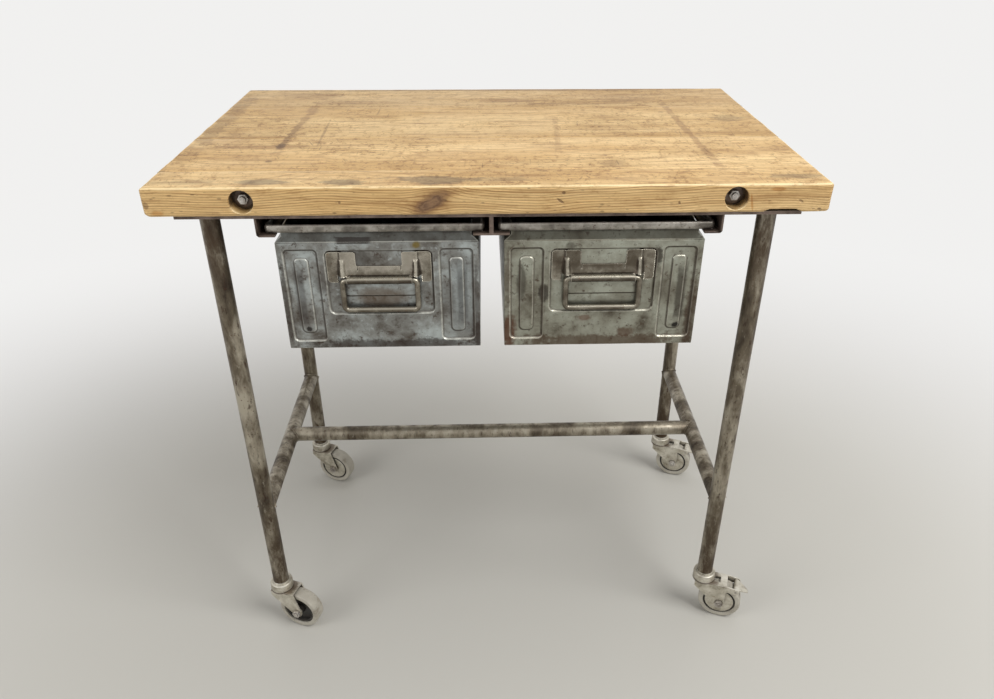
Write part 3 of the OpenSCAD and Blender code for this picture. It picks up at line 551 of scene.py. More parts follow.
def frontFace(place, colour, height, tear):
    x, y, _ = axes(place)
    aged = span(x, 0.3, -0.3, 0.2, 1.0) * span(y, frontY + 0.0015, frontY + 0.0005)
    colour = tinted(colour, aged, (0.95, 0.9, 0.81))
    upright = stainMask(place, knot | {"torn": 1.0, "soft": 0.7, "dark": 1.0}, tear, "front")
    rim = stainMask(place, knot | {"torn": 1.0, "soft": 0.8, "dark": 1.0,
                                   "half": (knot["half"][0] * 1.7, knot["half"][1] * 1.7)}, tear, "front")
    spot = mapped(place, (knot["at"][0], frontY, knot["at"][1]), (0, math.radians(knot["turn"]), 0),
                  (knot["half"][0], knot["body"], knot["half"][1]), "TEXTURE")
    far = fromNode(place.tree, "ShaderNodeVectorMath", "Value", {0: spot}, operation="LENGTH")
    swirl = far * 5.0 + tear * 10.0
    rings = calc("PINGPONG", swirl, 1.0)
    heart = mixed(span(rings, 0.15, 0.85, 0.4, 0.95), tone(*knot["light"]), tone(*knot["dark"]))
    heart = laid(heart, span(far, 0.42, 0.12, 0.0, 0.55), knot["light"])
    colour = tinted(colour, rim * 0.95, (0.5, 0.39, 0.29))
    colour = mixed(upright * 0.95, colour, heart)
    colour = laid(colour, upright * span(far, 0.6, 0.98, 0.0, 0.3), knot["edge"])
    height = height - upright * (rings * 0.6)
    for stain in frontStains:
        mask = stainMask(place, stain, tear, "front")
        colour = tinted(colour, mask, stain["tint"])
        if stain["tint"] == soot and stain["dark"] > 0.6:
            height = height - mask * 3.0
    return colour, height


boardShape = {"endRound": 0.0055, "edgeRound": 0.0038, "topRound": 0.0040, "ragged": 0.0016, "joint": 0.0003,
              "step": 0.009, "row": 0.008, "rowFrom": 0.0095, "jointCut": 0.0007, "level": 0.005,
              "near": (0.0006, 0.0013, 0.0021, 0.0031, 0.0044, 0.0062, 0.0088),
              "chip": (0.366, 0.416, 0.0052, 0.013), "chipEnd": 0.004, "chipCut": 0.92}


def boardPiece(name, board, material):
    low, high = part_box(name)
    middle, half = (low + high) / 2, (high - low) / 2
    shape = boardShape
    bm = bmesh.new()
    bmesh.ops.create_cube(bm, size=2.0)
    bmesh.ops.scale(bm, vec=half, verts=bm.verts[:])
    near = shape["near"]
    inner = half.x - near[-1]
    steps = int(2 * inner / shape["step"])
    cutAt(bm, 0, [s * (half.x - d) for d in near for s in (-1, 1)]
          + [(i + 1) * 2 * inner / (steps + 1) - inner for i in range(steps)])
    sides = [-1 if "front" in board["outer"] else 0, 1 if "rear" in board["outer"] else 0]
    rows, rowReach = int(2 * half.y / shape["row"]), half.y - shape["rowFrom"]
    cutAt(bm, 1, [s * (half.y - d) for d in near for s in sides if s]
          + [s * (half.y - shape["jointCut"]) for s in (-1, 1)]
          + [i * 2 * rowReach / rows - rowReach for i in range(rows + 1)])
    cutAt(bm, 2, [s * (half.z - d) for d in near for s in (-1, 1)] + [s * shape["level"] for s in (-1, 0, 1)])
    for vert in bm.verts:
        p = vert.co.copy()
        spot = p + middle
        wear = ragged(spot, 26, board["seed"]) + 0.5 * ragged(spot, 90, board["seed"])
        endRound = shape["endRound"] + shape["ragged"] * wear
        topRound = shape["topRound"] + 0.6 * shape["ragged"] * wear
        edgeRound = shape["edgeRound"] + 0.8 * shape["ragged"] * wear
        if p.x < 0 and p.z < 0:
            endRound, topRound = endRound * 1.5, topRound * 1.4
        rounds = [endRound, edgeRound if (p.y < 0 and -1 in sides) or (p.y > 0 and 1 in sides) else 0.0, topRound]
        off = Vector([max(0.0, abs(p[i]) - (half[i] - rounds[i])) / rounds[i] if rounds[i] else 0.0 for i in range(3)])
        if sum(1 for i in range(3) if off[i] > 0) > 1:
            off.normalize()
            for i in range(3):
                if off[i] > 0:
                    vert.co[i] = math.copysign(half[i] - rounds[i] + rounds[i] * off[i], p[i])
        elif max(off) > 0:
            axis = max(range(3), key=lambda i: off[i])
            if axis == 2 and p.z > 0:
                vert.co.z -= 0.00035 * max(0.0, wear)
        for s in (-1, 1):
            if s not in sides and abs(p.y - s * half.y) < 1e-6 and abs(abs(p.z) - half.z) < 1e-6:
                vert.co.z -= math.copysign(shape["joint"] * (1.0 + 0.6 * wear), p.z)
        if "front" in board["outer"]:
            chipDent(vert, spot, low, shape)
    bmesh.ops.translate(bm, vec=middle, verts=bm.verts[:])
    bmesh.ops.recalc_face_normals(bm, faces=bm.faces[:])
    return newPiece(name + "_worn", bm, material, (name,), angle=50)


def chipDent(vert, spot, low, shape):
    start, end, tall, deep = shape["chip"]
    inside = easeStep(min(spot.x - start, end - spot.x) / shape["chipEnd"])
    if inside > 0 and spot.z < low.z + tall and spot.y < low.y + deep:
        fade = max(0.0, 1.0 - (spot.y - low.y) / deep)
        vert.co.z += inside * fade * (low.z + tall - spot.z) * shape["chipCut"]


def holeCutter():
    low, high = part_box("tie_rods")
    x = (high.x - low.x) / 2 - 0.004
    z = (low.z + high.z) / 2
    front, deep = -frontY, -frontY - rodHoles["depth"]
    wide, bore, flare = rodHoles["counterbore"], rodHoles["bore"], rodHoles["flare"]
    outline = [(bore, 0.0), (bore, deep), (wide, deep), (wide, front - flare), (wide + flare, front + 0.0001),
               (wide + flare, front + 0.01), (0.0, front + 0.01)]
    bm = bmesh.new()
    for side in (-1, 1):
        for end in (-1, 1):
            points = [(0.0, 0.0)] + outline
            verts = [bm.verts.new((side * x + r, end * d, z)) for r, d in points]
            edges = [bm.edges.new(pair) for pair in zip(verts, verts[1:])]
            bmesh.ops.spin(bm, geom=verts + edges, cent=(side * x, 0, z), axis=(0, 1, 0), angle=math.tau,
                           steps=rodHoles["steps"], use_merge=True, use_duplicate=False)
    bmesh.ops.remove_doubles(bm, verts=bm.verts[:], dist=1e-6)
    bmesh.ops.recalc_face_normals(bm, faces=bm.faces[:])
    return meshObject("hole_cutter", bm)


cutter = holeCutter()
for name, board in boards.items():
    piece = boardPiece(name, board, pineMaterial(name, board))
    hole = piece.modifiers.new("holes", "BOOLEAN")
    hole.object = cutter
    hole.solver = "EXACT"
    bakeModifiers(piece)
bpy.data.objects.remove(cutter)
print("worktop boards made")


# Bare and plated steels: patches, stains, rust and worn edges, with painted shade in crevices, on undersides and on
# pressed walls away from the light, and painted highlights on tops and on walls that face it
legs = {"aside": 0.385, "apart": 0.206, "line": -0.035, "feet": (0.3, 0.12), "tops": (0.66, 0.75),
        "outer": (0.366, 0.372), "inner": (0.372, 0.362)}
grease = {"reach": (0.034, 0.024), "torn": 0.02, "under": (0.0806, 0.08), "over": (0.077, 0.079)}


def agedSteel(name, look, stainsAndPaintedLight=()):
    look = plainSteel | look
    material, tree, shader = newMaterial(name, look["metal"], look["rough"])
    seed, stretch = look["seed"], look["stretch"]
    place = objectPlace(tree)
    x, y, z = axes(place)
    big = cloud(place, look["scale"], 6.0, 0.62, stretch, (seed, 0, 0), 0.15)
    small = cloud(place, look["scale"] * 4.3, 6.0, 0.68, stretch, (0, seed, 0), 0.1)
    fine = cloud(place, 900.0, 3.0, 0.6, (1, 1, 1), (0, 0, seed))
    colour = ramp(big, [(0.3, look["dark"]), (0.47, look["base"]), (0.66, look["light"])])
    colour = laid(colour, span(small, 0.54, 0.7, 0.0, look["blotch"]), look["stain"])
    colour = laid(colour, span(small, 0.42, 0.28, 0.0, look["blotch"] * 0.7), look["light"])
    # Painted light: faces turned up and forward are painted lighter as a highlight, and faces turned down or back are
    # painted darker as shade
    if look["facingLight"]:
        _, lookY, lookZ = facing(tree)
        shown = lookZ * 0.75 - lookY * 0.55
        colour = laid(colour, span(shown, 0.3, -0.45, 0.0, look["facingLight"]), look["dirt"])
        colour = laid(colour, span(shown, 0.66, 0.93, 0.0, look["facingLight"] * 0.6), look["bright"])
    rusty = specks(place, look["speck"], 0.36, look["rustShare"], (seed, seed, 0)) * span(big, 0.36, 0.56)
    rusty = most(rusty, span(small * (fine + 0.5), look["rustFrom"], look["rustFrom"] + 0.08))
    colour = laid(colour, rusty * look["rustDark"], look["rust"])
    tear = cloud(place, 110.0, 5.0, 0.65, (1, 1, 1), (seed, 0, seed))
    # Stains are laid here, and on the drawer fronts and brackets also bands of painted shade and painted highlight
    for stain in stainsAndPaintedLight:
        paint = tone(*stain["colour"])
        cover = mixed(stain.get("cover", 0.6), shaded(colour, paint[:3]), paint)
        colour = mixed(stainMask(place, stain, tear, "front"), colour, cover)
    if look["crown"]:
        # Old grease lies round each swivel head, on the crown
        away = distance(abs(x) - legs["aside"], abs(y - legs["line"]) - legs["apart"])
        away = away + (small - 0.5) * grease["torn"]
        greasy = span(away, *grease["reach"]) * span(z, *grease["under"])
        greasy = greasy * span(z, *grease["over"])
        colour = laid(colour, greasy * 0.85, look["crown"])
    if look["ends"]:
        # The legs are browner near their feet and under the worktop
        soiled = most(span(z, *legs["feet"]), span(z, *legs["tops"]))
        soiled = soiled * span(abs(x), *legs["outer"])
        soiled = soiled * span(big + small, 1.12, 0.88, 0.15, 0.8)
        colour = laid(colour, soiled, look["ends"])
        middle = span(abs(x), *legs["inner"]) * 0.15
        colour = laid(colour, middle * span(big, 0.4, 0.6), look["light"])
    # Crevices get painted shade from ambient occlusion, in the colour called dirt
    if look["creviceShade"]:
        colour = laid(colour, crevices(tree, look["reach"], 0.8, 0.35) * look["creviceShade"], look["dirt"])
    wearAndHighlight = sharpEdges(tree, look["edge"], 0.02, 0.22) * span(small, 0.34, 0.56, 1.0, 0.45)
    # On pressed sheet, creases and walls facing away from the light get painted shade, and ridges and walls facing it
    # a painted highlight, added to the worn edges
    if look["pressed"]:
        bend = fromNode(tree, "ShaderNodeAttribute", "Fac", attribute_name="pressEdge")
        wall = fromNode(tree, "ShaderNodeAttribute", "Fac", attribute_name="pressWallShade")
        under = most(span(bend, -0.06, -0.45, 0.0, 0.8), span(wall, 0.05, 0.4))
        under = under * span(small, 0.3, 0.62, 1.0, 0.7)
        colour = laid(colour, under * 0.92, look["dirt"])
        over = most(span(bend, 0.1, 0.6, 0.0, 0.5), span(wall, -0.1, -0.55))
        over = over * (1.0 - under)
        wearAndHighlight = most(wearAndHighlight, over * span(small, 0.34, 0.62, 1.0, 0.45))
    colour = laid(colour, wearAndHighlight * look["wearAndHighlight"], look["bright"])
    connect(colour, shader, "Base Color")
    gloss = span(big, 0.3, 0.7, look["rough"] + 0.1, look["rough"] - 0.06) - wearAndHighlight * 0.12
    connect(calc("ADD", gloss, rusty * 0.25, clamp=True), shader, "Roughness")
    height = small + fine * 0.25
    relief(shader, height, look["bump"], 0.6)
    return material


plainSteel = {"seed": 0.0, "stretch": (1, 1, 1), "facingLight": 0, "pressed": False, "crown": None, "ends": None,
              "rough": 0.34, "blotch": 0.85, "rustShare": 0.05, "rustFrom": 0.66, "rustDark": 0.6, "reach": 0.008,
              "edge": 0.0022, "wearAndHighlight": 0.9}
steels = {
    "drawer_steel_left": {
        "metal": 0.65, "rough": 0.36, "scale": 24.0, "dark": (78, 70, 61), "base": (130, 130, 125),
        "light": (174, 181, 179), "stain": (66, 54, 45), "speck": 420.0, "rustDark": 0.7, "rust": (74, 52, 38),
        "creviceShade": 0.75, "dirt": (58, 48, 40), "wearAndHighlight": 0.85, "bright": (214, 214, 204), "bump": 0.0008, "seed": 2.0,
        "pressed": True
    },
    "drawer_steel_right": {
        "metal": 0.65, "rough": 0.36, "scale": 22.0, "dark": (76, 68, 55), "base": (130, 128, 114),
        "light": (160, 162, 148), "stain": (68, 55, 42), "speck": 420.0, "rustFrom": 0.65, "rustDark": 0.75,
        "rust": (80, 52, 36), "creviceShade": 0.75, "dirt": (58, 48, 38), "wearAndHighlight": 0.85, "bright": (208, 204, 188),
        "bump": 0.0008, "seed": 6.0, "pressed": True
    },
    "rim_steel": {
        "metal": 0.6, "scale": 34.0, "dark": (66, 59, 52), "base": (122, 117, 108), "light": (176, 171, 161),
        "stain": (66, 50, 42), "blotch": 0.9, "speck": 260.0, "rustShare": 0.08, "rustDark": 0.7,
        "rust": (88, 56, 40), "creviceShade": 0.6, "reach": 0.006, "dirt": (44, 36, 32), "wearAndHighlight": 0.85,
        "bright": (196, 188, 178), "bump": 0.0006, "seed": 3.0, "facingLight": 0.5
    },
    "handle_steel": {
        "metal": 0.75, "rough": 0.28, "scale": 40.0, "dark": (76, 67, 56), "base": (104, 97, 84),
        "light": (142, 136, 122), "stain": (70, 56, 43), "blotch": 0.6, "speck": 260.0, "rustFrom": 0.7,
        "rust": (120, 78, 44), "creviceShade": 0.85, "reach": 0.006, "dirt": (48, 38, 29), "edge": 0.002,
        "bright": (224, 218, 200), "bump": 0.0002, "seed": 5.0, "pressed": True, "facingLight": 0.6
    },
    "tube_steel": {
        "metal": 0.6, "rough": 0.38, "scale": 34.0, "dark": (50, 40, 30), "base": (102, 92, 76),
        "light": (170, 162, 145), "stain": (44, 32, 23), "speck": 230.0, "rustShare": 0.12, "rustFrom": 0.64,
        "rustDark": 0.65, "rust": (88, 58, 38), "creviceShade": 0.7, "reach": 0.01, "dirt": (44, 34, 26), "edge": 0.0015,
        "wearAndHighlight": 0.6, "bright": (188, 178, 160), "bump": 0.0007, "seed": 8.0, "facingLight": 0.25, "stretch": (1, 1, 0.35),
        "ends": (66, 50, 34)
    },
    "rail_steel": {
        "metal": 0.5, "rough": 0.42, "scale": 30.0, "dark": (56, 45, 39), "base": (94, 80, 71),
        "light": (128, 112, 101), "stain": (52, 36, 28), "blotch": 0.7, "speck": 240.0, "rustShare": 0.08,
        "rust": (78, 48, 34), "creviceShade": 0.5, "dirt": (28, 22, 18), "edge": 0.0016, "wearAndHighlight": 0.8,
        "bright": (150, 138, 124), "bump": 0.0006, "seed": 1.0
    },
    "caster_zinc": {
        "metal": 0.5, "scale": 44.0, "dark": (126, 117, 101), "base": (184, 178, 162), "light": (212, 207, 194),
        "stain": (128, 110, 88), "blotch": 0.45, "speck": 280.0, "rustFrom": 0.72, "rustDark": 0.5,
        "rust": (120, 88, 60), "creviceShade": 0.8, "reach": 0.006, "dirt": (70, 58, 46), "edge": 0.0014,
        "bright": (240, 238, 232), "bump": 0.0003, "seed": 4.0, "facingLight": 0.35, "crown": (86, 70, 54)
    },
    "bolt_zinc": {
        "metal": 0.7, "scale": 60.0, "dark": (120, 112, 104), "base": (168, 162, 154), "light": (206, 202, 196),
        "stain": (104, 86, 68), "blotch": 0.5, "speck": 320.0, "rustShare": 0.08, "rustFrom": 0.7,
        "rust": (112, 76, 50), "creviceShade": 0.85, "reach": 0.005, "dirt": (48, 38, 30), "edge": 0.001,
        "bright": (240, 238, 232), "bump": 0.0003, "seed": 9.0
    },
}
leftStainsAndPaintedLight = listed(steelColumns, [
    ((-0.042, 0.668), (0.023, 0.074), (158, 164, 164), 0.5, 0.02, 0.5, True),
    ((-0.042, 0.67), (0.009, 0.057), (100, 100, 98), 0.65, 0.02, 0.5, True),
    ((-0.272, 0.67), (0.009, 0.057), (92, 89, 86), 0.65, 0.02, 0.6, True),
    ((-0.266, 0.618), (0.006, 0.005), (40, 34, 30), 0.9, 0.02),
    # Painted shade on the shoulder strip above the fold
    ((-0.157, 0.7625), (0.15, 0.0095), (84, 83, 78), 0.75, 0.03, 0.35, True, 0.15),
    # Painted highlight along the fold
    ((-0.157, 0.753), (0.148, 0.0012), (192, 192, 183), 0.6, 0.02, 0.9, True, 0.6, 1.0),
    ((-0.157, 0.668), (0.047, 0.022), (116, 100, 84), 0.75, 0.02, 0.7),
    # Painted shadow along the top under the rim
    ((-0.157, 0.774), (0.15, 0.01), (30, 26, 22), 0.8, 0.03, 0.4, True, 0.5),
    ((-0.19, 0.7555), (0.026, 0.0055), (62, 54, 50), 0.85, 0.02, 0.5, True, 0.25),
    ((-0.19, 0.728), (0.034, 0.016), (74, 66, 58), 0.6, 0.02),
    ((-0.104, 0.748), (0.0075, 0.006), (142, 122, 62), 0.9, 0.02),
    ((-0.105, 0.712), (0.016, 0.01), (164, 104, 52), 0.9, 0.02, 1.2, False, 0.5, 0.6, -0.265),
    ((-0.157, 0.59), (0.15, 0.012), (60, 48, 40), 0.75, 0.03, 1.6, True),
    ((-0.02, 0.605), (0.012, 0.03), (56, 46, 40), 0.7, 0.03),
    ((-0.292, 0.66), (0.008, 0.09), (70, 58, 48), 0.7, 0.03, 1.8),
    ((-0.022, 0.64), (0.007, 0.1), (70, 58, 50), 0.6, 0.03, 1.8),
    ((-0.24, 0.69), (0.016, 0.02), (76, 66, 58), 0.5, 0.03),
    ((-0.066, 0.665), (0.016, 0.04), (80, 70, 62), 0.4, 0.03),
], deep=-0.26)
handlePaintedLight = listed(steelColumns, [
    # Painted highlight over the left bracket
    ((-0.157, 0.728), (0.076, 0.022), (176, 169, 155), 0.6, 0.02, 1.2, True, 0.5, 1.0, -0.262),
    # Painted shade over the right bracket
    ((0.157, 0.728), (0.076, 0.022), (74, 65, 52), 0.7, 0.02, 1.2, True, 0.5, 1.0, -0.262),
])
rightStainsAndPaintedLight = listed(steelColumns, [
    ((0.272, 0.67), (0.009, 0.057), (80, 74, 64), 0.8, 0.02, 0.7, True),
    ((0.27, 0.618), (0.008, 0.006), (28, 24, 20), 0.95, 0.02),
    ((0.042, 0.688), (0.009, 0.038), (78, 72, 62), 0.7, 0.02, 0.9),
    # Painted shade on the shoulder strip above the fold
    ((0.157, 0.7625), (0.15, 0.0095), (62, 58, 48), 0.7, 0.03, 0.35, True, 0.15),
    # Painted highlight along the fold
    ((0.157, 0.753), (0.148, 0.0013), (150, 144, 128), 0.6, 0.02, 0.8, True, 0.6, 1.0),
    # Painted shadow along the top under the rim
    ((0.157, 0.774), (0.15, 0.01), (30, 26, 22), 0.8, 0.03, 0.4, True, 0.5),
    ((0.157, 0.592), (0.15, 0.014), (86, 62, 42), 0.7, 0.03, 1.8, True),
    ((0.024, 0.61), (0.014, 0.034), (98, 58, 34), 0.85, 0.03),
    ((0.29, 0.64), (0.01, 0.07), (84, 66, 50), 0.7, 0.03, 1.8),
    ((0.196, 0.606), (0.016, 0.012), (92, 60, 38), 0.7, 0.03),
    ((0.232, 0.728), (0.012, 0.018), (60, 52, 42), 0.85, 0.03),
    ((0.074, 0.672), (0.01, 0.018), (62, 54, 46), 0.8, 0.03),
    ((0.022, 0.69), (0.008, 0.05), (92, 74, 58), 0.6, 0.03, 1.8),
    ((0.135, 0.632), (0.012, 0.006), (110, 72, 52), 0.6, 0.03),
    ((0.11, 0.744), (0.01, 0.007), (82, 74, 62), 0.6, 0.03),
], deep=-0.26)
stainsAndPaintedLightOf = {"drawer_steel_left": leftStainsAndPaintedLight, "drawer_steel_right": rightStainsAndPaintedLight, "handle_steel": handlePaintedLight}
finish = {name: agedSteel(name, look, stainsAndPaintedLightOf.get(name, ())) for name, look in steels.items()}
hubPlastic = {"base": (44, 42, 39), "dusty": (66, 61, 54), "dark": (30, 27, 24)}
rubber = {"base": (164, 158, 145), "pale": (186, 181, 168), "dirt": (116, 106, 90), "scuffAndShade": (92, 84, 72)}


def rubberMaterial():
    material, tree, shader = newMaterial("tyre_rubber", 0.0, 0.62)
    place = objectPlace(tree)
    soil = cloud(place, 30.0, 6.0, 0.65, warp=0.5)
    grain = cloud(place, 420.0, 3.0, 0.6)
    colour = mixed(span(soil, 0.35, 0.68), tone(*rubber["pale"]), tone(*rubber["base"]))
    colour = laid(colour, span(soil, 0.56, 0.74, 0.0, 0.55), rubber["dirt"])
    colour = laid(colour, specks(place, 260.0, 0.3, 0.08) * 0.6, rubber["scuffAndShade"])
    # Crevices get painted shade from ambient occlusion
    colour = laid(colour, crevices(tree, 0.006) * 0.6, rubber["scuffAndShade"])
    connect(colour, shader, "Base Color")
    connect(span(soil, 0.3, 0.7, 0.52, 0.72), shader, "Roughness")
    relief(shader, grain, 0.0003, 0.5)
    return material


def hubMaterial():
    material, tree, shader = newMaterial("hub_plastic", 0.0, 0.5)
    place = objectPlace(tree)
    dust = cloud(place, 60.0, 5.0, 0.6)
    grain = cloud(place, 700.0, 2.0, 0.5)
    colour = mixed(span(dust, 0.42, 0.66), tone(*hubPlastic["base"]), tone(*hubPlastic["dusty"]))
    # Crevices get painted shade from ambient occlusion
    colour = laid(colour, crevices(tree, 0.005) * 0.7, hubPlastic["dark"])
    connect(colour, shader, "Base Color")
    connect(span(dust, 0.3, 0.7, 0.42, 0.62), shader, "Roughness")
    relief(shader, grain, 0.0002, 0.4)
    return material


finish["rubber"] = rubberMaterial()
finish["hub"] = hubMaterial()
print("materials made")


# Drawer fronts: one pressed sheet with side panels, ribs, a pocket and a raised field
frontPress = {"deep": 0.0025, "rise": 0.0016, "wall": 0.0030, "round": 0.006, "sheet": 0.0012, "columns": 214,
              "rows": 140, "edgeBend": 0.0018, "side": (0.046, 0.143), "sideEdge": 0.009, "sideUp": 0.012,
              "rib": (0.019, 0.116), "pocket": (0.149, 0.097), "pocketUp": 0.056, "field": (0.104, 0.069),
              "near": 0.0011}


def roundedBox(x, z, size, corner):
    dx, dz = abs(x) - size[0] / 2 + corner, abs(z) - size[1] / 2 + corner
    return math.hypot(max(dx, 0), max(dz, 0)) + min(max(dx, dz), 0) - corner


def stepDown(far, wall):
    return easeStep((wall / 2 - far) / wall)


def frontDepth(x, z, wide, seed):
    press = frontPress
    wall, corner = press["wall"], press["round"]
    deep = 0.0
    for side in (-1, 1):
        px = x - side * (wide / 2 - press["sideEdge"] - press["side"][0] / 2)
        pz = z - press["sideUp"] - press["side"][1] / 2
        deep += press["deep"] * stepDown(roundedBox(px, pz, press["side"], corner), wall)
        deep -= press["rise"] * stepDown(roundedBox(px, pz, press["rib"], corner), wall * 0.8)
    pz = z - press["pocketUp"] - press["pocket"][1] / 2
    fieldZ = z - press["pocketUp"] - press["pocket"][1] + press["field"][1] / 2
    inPocket = stepDown(roundedBox(x, pz, press["pocket"], corner + 0.002), wall)
    deep += press["deep"] * inPocket
    deep -= press["rise"] * inPocket * stepDown(roundedBox(x, fieldZ, press["field"], corner), wall * 0.8)
    warp = noise.noise(Vector((x * 16 + seed, z * 16, seed))) * 0.0005
    return deep + warp + noise.noise(Vector((x * 70 + seed, z * 70, seed))) * 0.00012


def denserNear(count, length, edges, spread=0.0022, pull=4.5):
    fine = 2400
    density = [1 + pull * sum(math.exp(-((length * (i + 0.5) / fine - edge) / spread) ** 2) for edge in edges)
               for i in range(fine)]
    total, reached, spots, target = sum(density), 0.0, [0.0], 1
    for i, amount in enumerate(density):
        reached += amount
        while target < count and reached >= total * target / count:
            spots.append(length * (i + 1) / fine)
            target += 1
    return spots[:count] + [length]


def pressLines(wide, tall):
    press, half = frontPress, wide / 2
    across, upward = [0.0, wide], [0.0, tall]
    for side in (-1, 1):
        middle = half + side * (half - press["sideEdge"] - press["side"][0] / 2)
        across += [middle + s * w / 2 for s in (-1, 1) for w in (press["side"][0], press["rib"][0])]
        across += [half + side * w / 2 for w in (press["pocket"][0], press["field"][0])]
    for size in (press["side"][1], press["rib"][1]):
        upward += [press["sideUp"] + press["side"][1] / 2 + s * size / 2 for s in (-1, 1)]
    top = press["pocketUp"] + press["pocket"][1]
    upward += [press["pocketUp"], top, top - press["field"][1]]
    return sorted(across), sorted(upward)


def drawerFront(side, seed):
    node = f"drawer_{side}_front"
    low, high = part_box(node)
    wide, tall = high.x - low.x, high.z - low.z
    middle = (low.x + high.x) / 2
    columns, rows = frontPress["columns"], frontPress["rows"]
    across, upward = pressLines(wide, tall)
    spotX, spotZ = denserNear(columns, wide, across), denserNear(rows, tall, upward)
    bm = bmesh.new()
    bmesh.ops.create_grid(bm, x_segments=columns, y_segments=rows, size=0.5)
    edgeLayer = bm.verts.layers.float.new("pressEdge")
    wallShadeLayer = bm.verts.layers.float.new("pressWallShade")
    bend, near = frontPress["edgeBend"], frontPress["near"]
    for vert in bm.verts:
        x = spotX[round((vert.co.x + 0.5) * columns)] - wide / 2
        z = spotZ[round((vert.co.y + 0.5) * rows)]
        deep = frontDepth(x, z, wide, seed)
        left, right = frontDepth(x - near, z, wide, seed), frontDepth(x + near, z, wide, seed)
        under, over = frontDepth(x, z - near, wide, seed), frontDepth(x, z + near, wide, seed)
        # Painted light: the first layer holds the sheet's bend, which paints shade into creases and a highlight on
        # ridges; the second holds the slope toward a light above on the right, which paints walls facing away as shade
        # and walls facing it as highlight
        vert[edgeLayer] = (left + right + under + over - 4 * deep) / near
        vert[wallShadeLayer] = (0.8 * (under - over) + 0.6 * (left - right)) / (2 * near)
        deep = max(0.0, deep)
        for gap in (wide / 2 - abs(x), tall - z):
            if gap < bend:
                deep += bend - math.sqrt(max(0.0, bend * bend - (bend - gap) ** 2))
        vert.co = Vector((middle + x, low.y + deep, low.z + z))
    pressedPiece(node + "_pressed", bm, finish[f"drawer_steel_{side}"], node, frontPress["sheet"])


drawerFront("left", 1.7)
drawerFront("right", 8.3)
print("drawer fronts pressed")


# Drawer rims: a rolled lip round a flat flange, open in the middle
rimShape = {"thick": 0.0056, "corner": 0.007, "flange": 0.0012, "mouth": 0.1288, "roll": 18, "cornerSteps": 8}


def roundPath(wide, deep, corner, steps):
    points = []
    for index, (sx, sy) in enumerate(((1, -1), (1, 1), (-1, 1), (-1, -1))):
        for k in range(steps + 1):
            a = math.radians(90 * (index - 1 + k / steps))
            points.append((sx * (wide / 2 - corner) + corner * math.cos(a),
                           sy * (deep / 2 - corner) + corner * math.sin(a), math.cos(a), math.sin(a)))
    return points


def drawerRim(side, seed):
    node = f"drawer_{side}_rim"
    low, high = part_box(node)
    middle = (low + high) / 2
    wide, deep, tall = high - low
    half, count = rimShape["thick"] / 2, rimShape["roll"]
    path = roundPath(wide, deep, rimShape["corner"], rimShape["cornerSteps"])
    bm = bmesh.new()
    first = []
    for k in range(count):
        a = math.tau * k / count
        up = math.copysign(abs(math.sin(a)) ** 0.85, math.sin(a)) * tall / 2
        first.append(bm.verts.new((half * math.cos(a) - half, 0, up)))
    edges = [bm.edges.new((first[k], first[(k + 1) % count])) for k in range(count)]
    loops = [first]
    while len(loops) < len(path):
        made = bmesh.ops.extrude_edge_only(bm, edges=edges)["geom"]
        edges = [item for item in made if isinstance(item, bmesh.types.BMEdge)]
        loops.append([item for item in made if isinstance(item, bmesh.types.BMVert)])
    for (px, py, nx, ny), loop in zip(path, loops):
        for vert in loop:
            out, up = vert.co.x, vert.co.z
            out -= abs(noise.noise(Vector((px * 30 + seed, py * 30, up * 20))) * 0.0003)
            vert.co = middle + Vector((px + nx * out, py + ny * out, up))
    bmesh.ops.bridge_loops(bm, edges=[e for e in bm.edges if len(e.link_faces) == 1])
    rimFlange(bm, low, high)
    bmesh.ops.remove_doubles(bm, verts=bm.verts[:], dist=1e-6)
    bmesh.ops.recalc_face_normals(bm, faces=bm.faces[:])
    newPiece(node + "_rolled", bm, finish["rim_steel"], (node,), angle=50)


def rimFlange(bm, low, high):
    inset, thin = rimShape["thick"] / 2, rimShape["flange"]
    middle = (low + high) / 2
    verts = bmesh.ops.create_cube(bm, size=1.0)["verts"]
    bmesh.ops.scale(bm, verts=verts, vec=(high.x - low.x - 2 * inset, high.y - low.y - 2 * inset, thin))
    bmesh.ops.translate(bm, verts=verts, vec=(middle.x, middle.y, low.z + thin / 2))
    faces = list({face for vert in verts for face in vert.link_faces if abs(face.normal.z) > 0.5})
    wide = (high.x - low.x) / 2 - inset
    bmesh.ops.inset_individual(bm, faces=faces, thickness=wide - rimShape["mouth"], depth=0.0)
    bmesh.ops.delete(bm, geom=faces, context="FACES_ONLY")


drawerRim("left", 2.0)
drawerRim("right", 7.0)
print("drawer rims rolled")


# Handle brackets: a sheet with two pressed ears that run into a roll round the bail's bar
bracketShape = {"sheet": 0.0012, "edge": 0.0004, "corner": 0.005, "notch": 0.032, "notchDown": 0.021,
                "notchRound": 0.0021, "notchTop": 0.0022, "ridge": 0.0515, "crown": 0.0013, "foot": 0.0590,
                "curl": 0.046, "rise": 0.0034, "ear": 0.0100, "earFrom": 0.0080, "riseTo": 0.0362, "curlRows": 20,
                "curlEnd": 205, "tunnel": 0.0053, "step": 0.0014, "back": 0.0060, "plateEnd": 0.0048,
                "pitch": 0.001, "near": 0.0012,
                "earStart": 0.24, "earEase": 0.007, "flank": 0.0036, "flankOut": 0.0032, "flankIn": 0.0060,
                "stepEnd": 0.0555, "riseEnd": 0.054, "endEase": 0.002, "riseEase": 0.013}


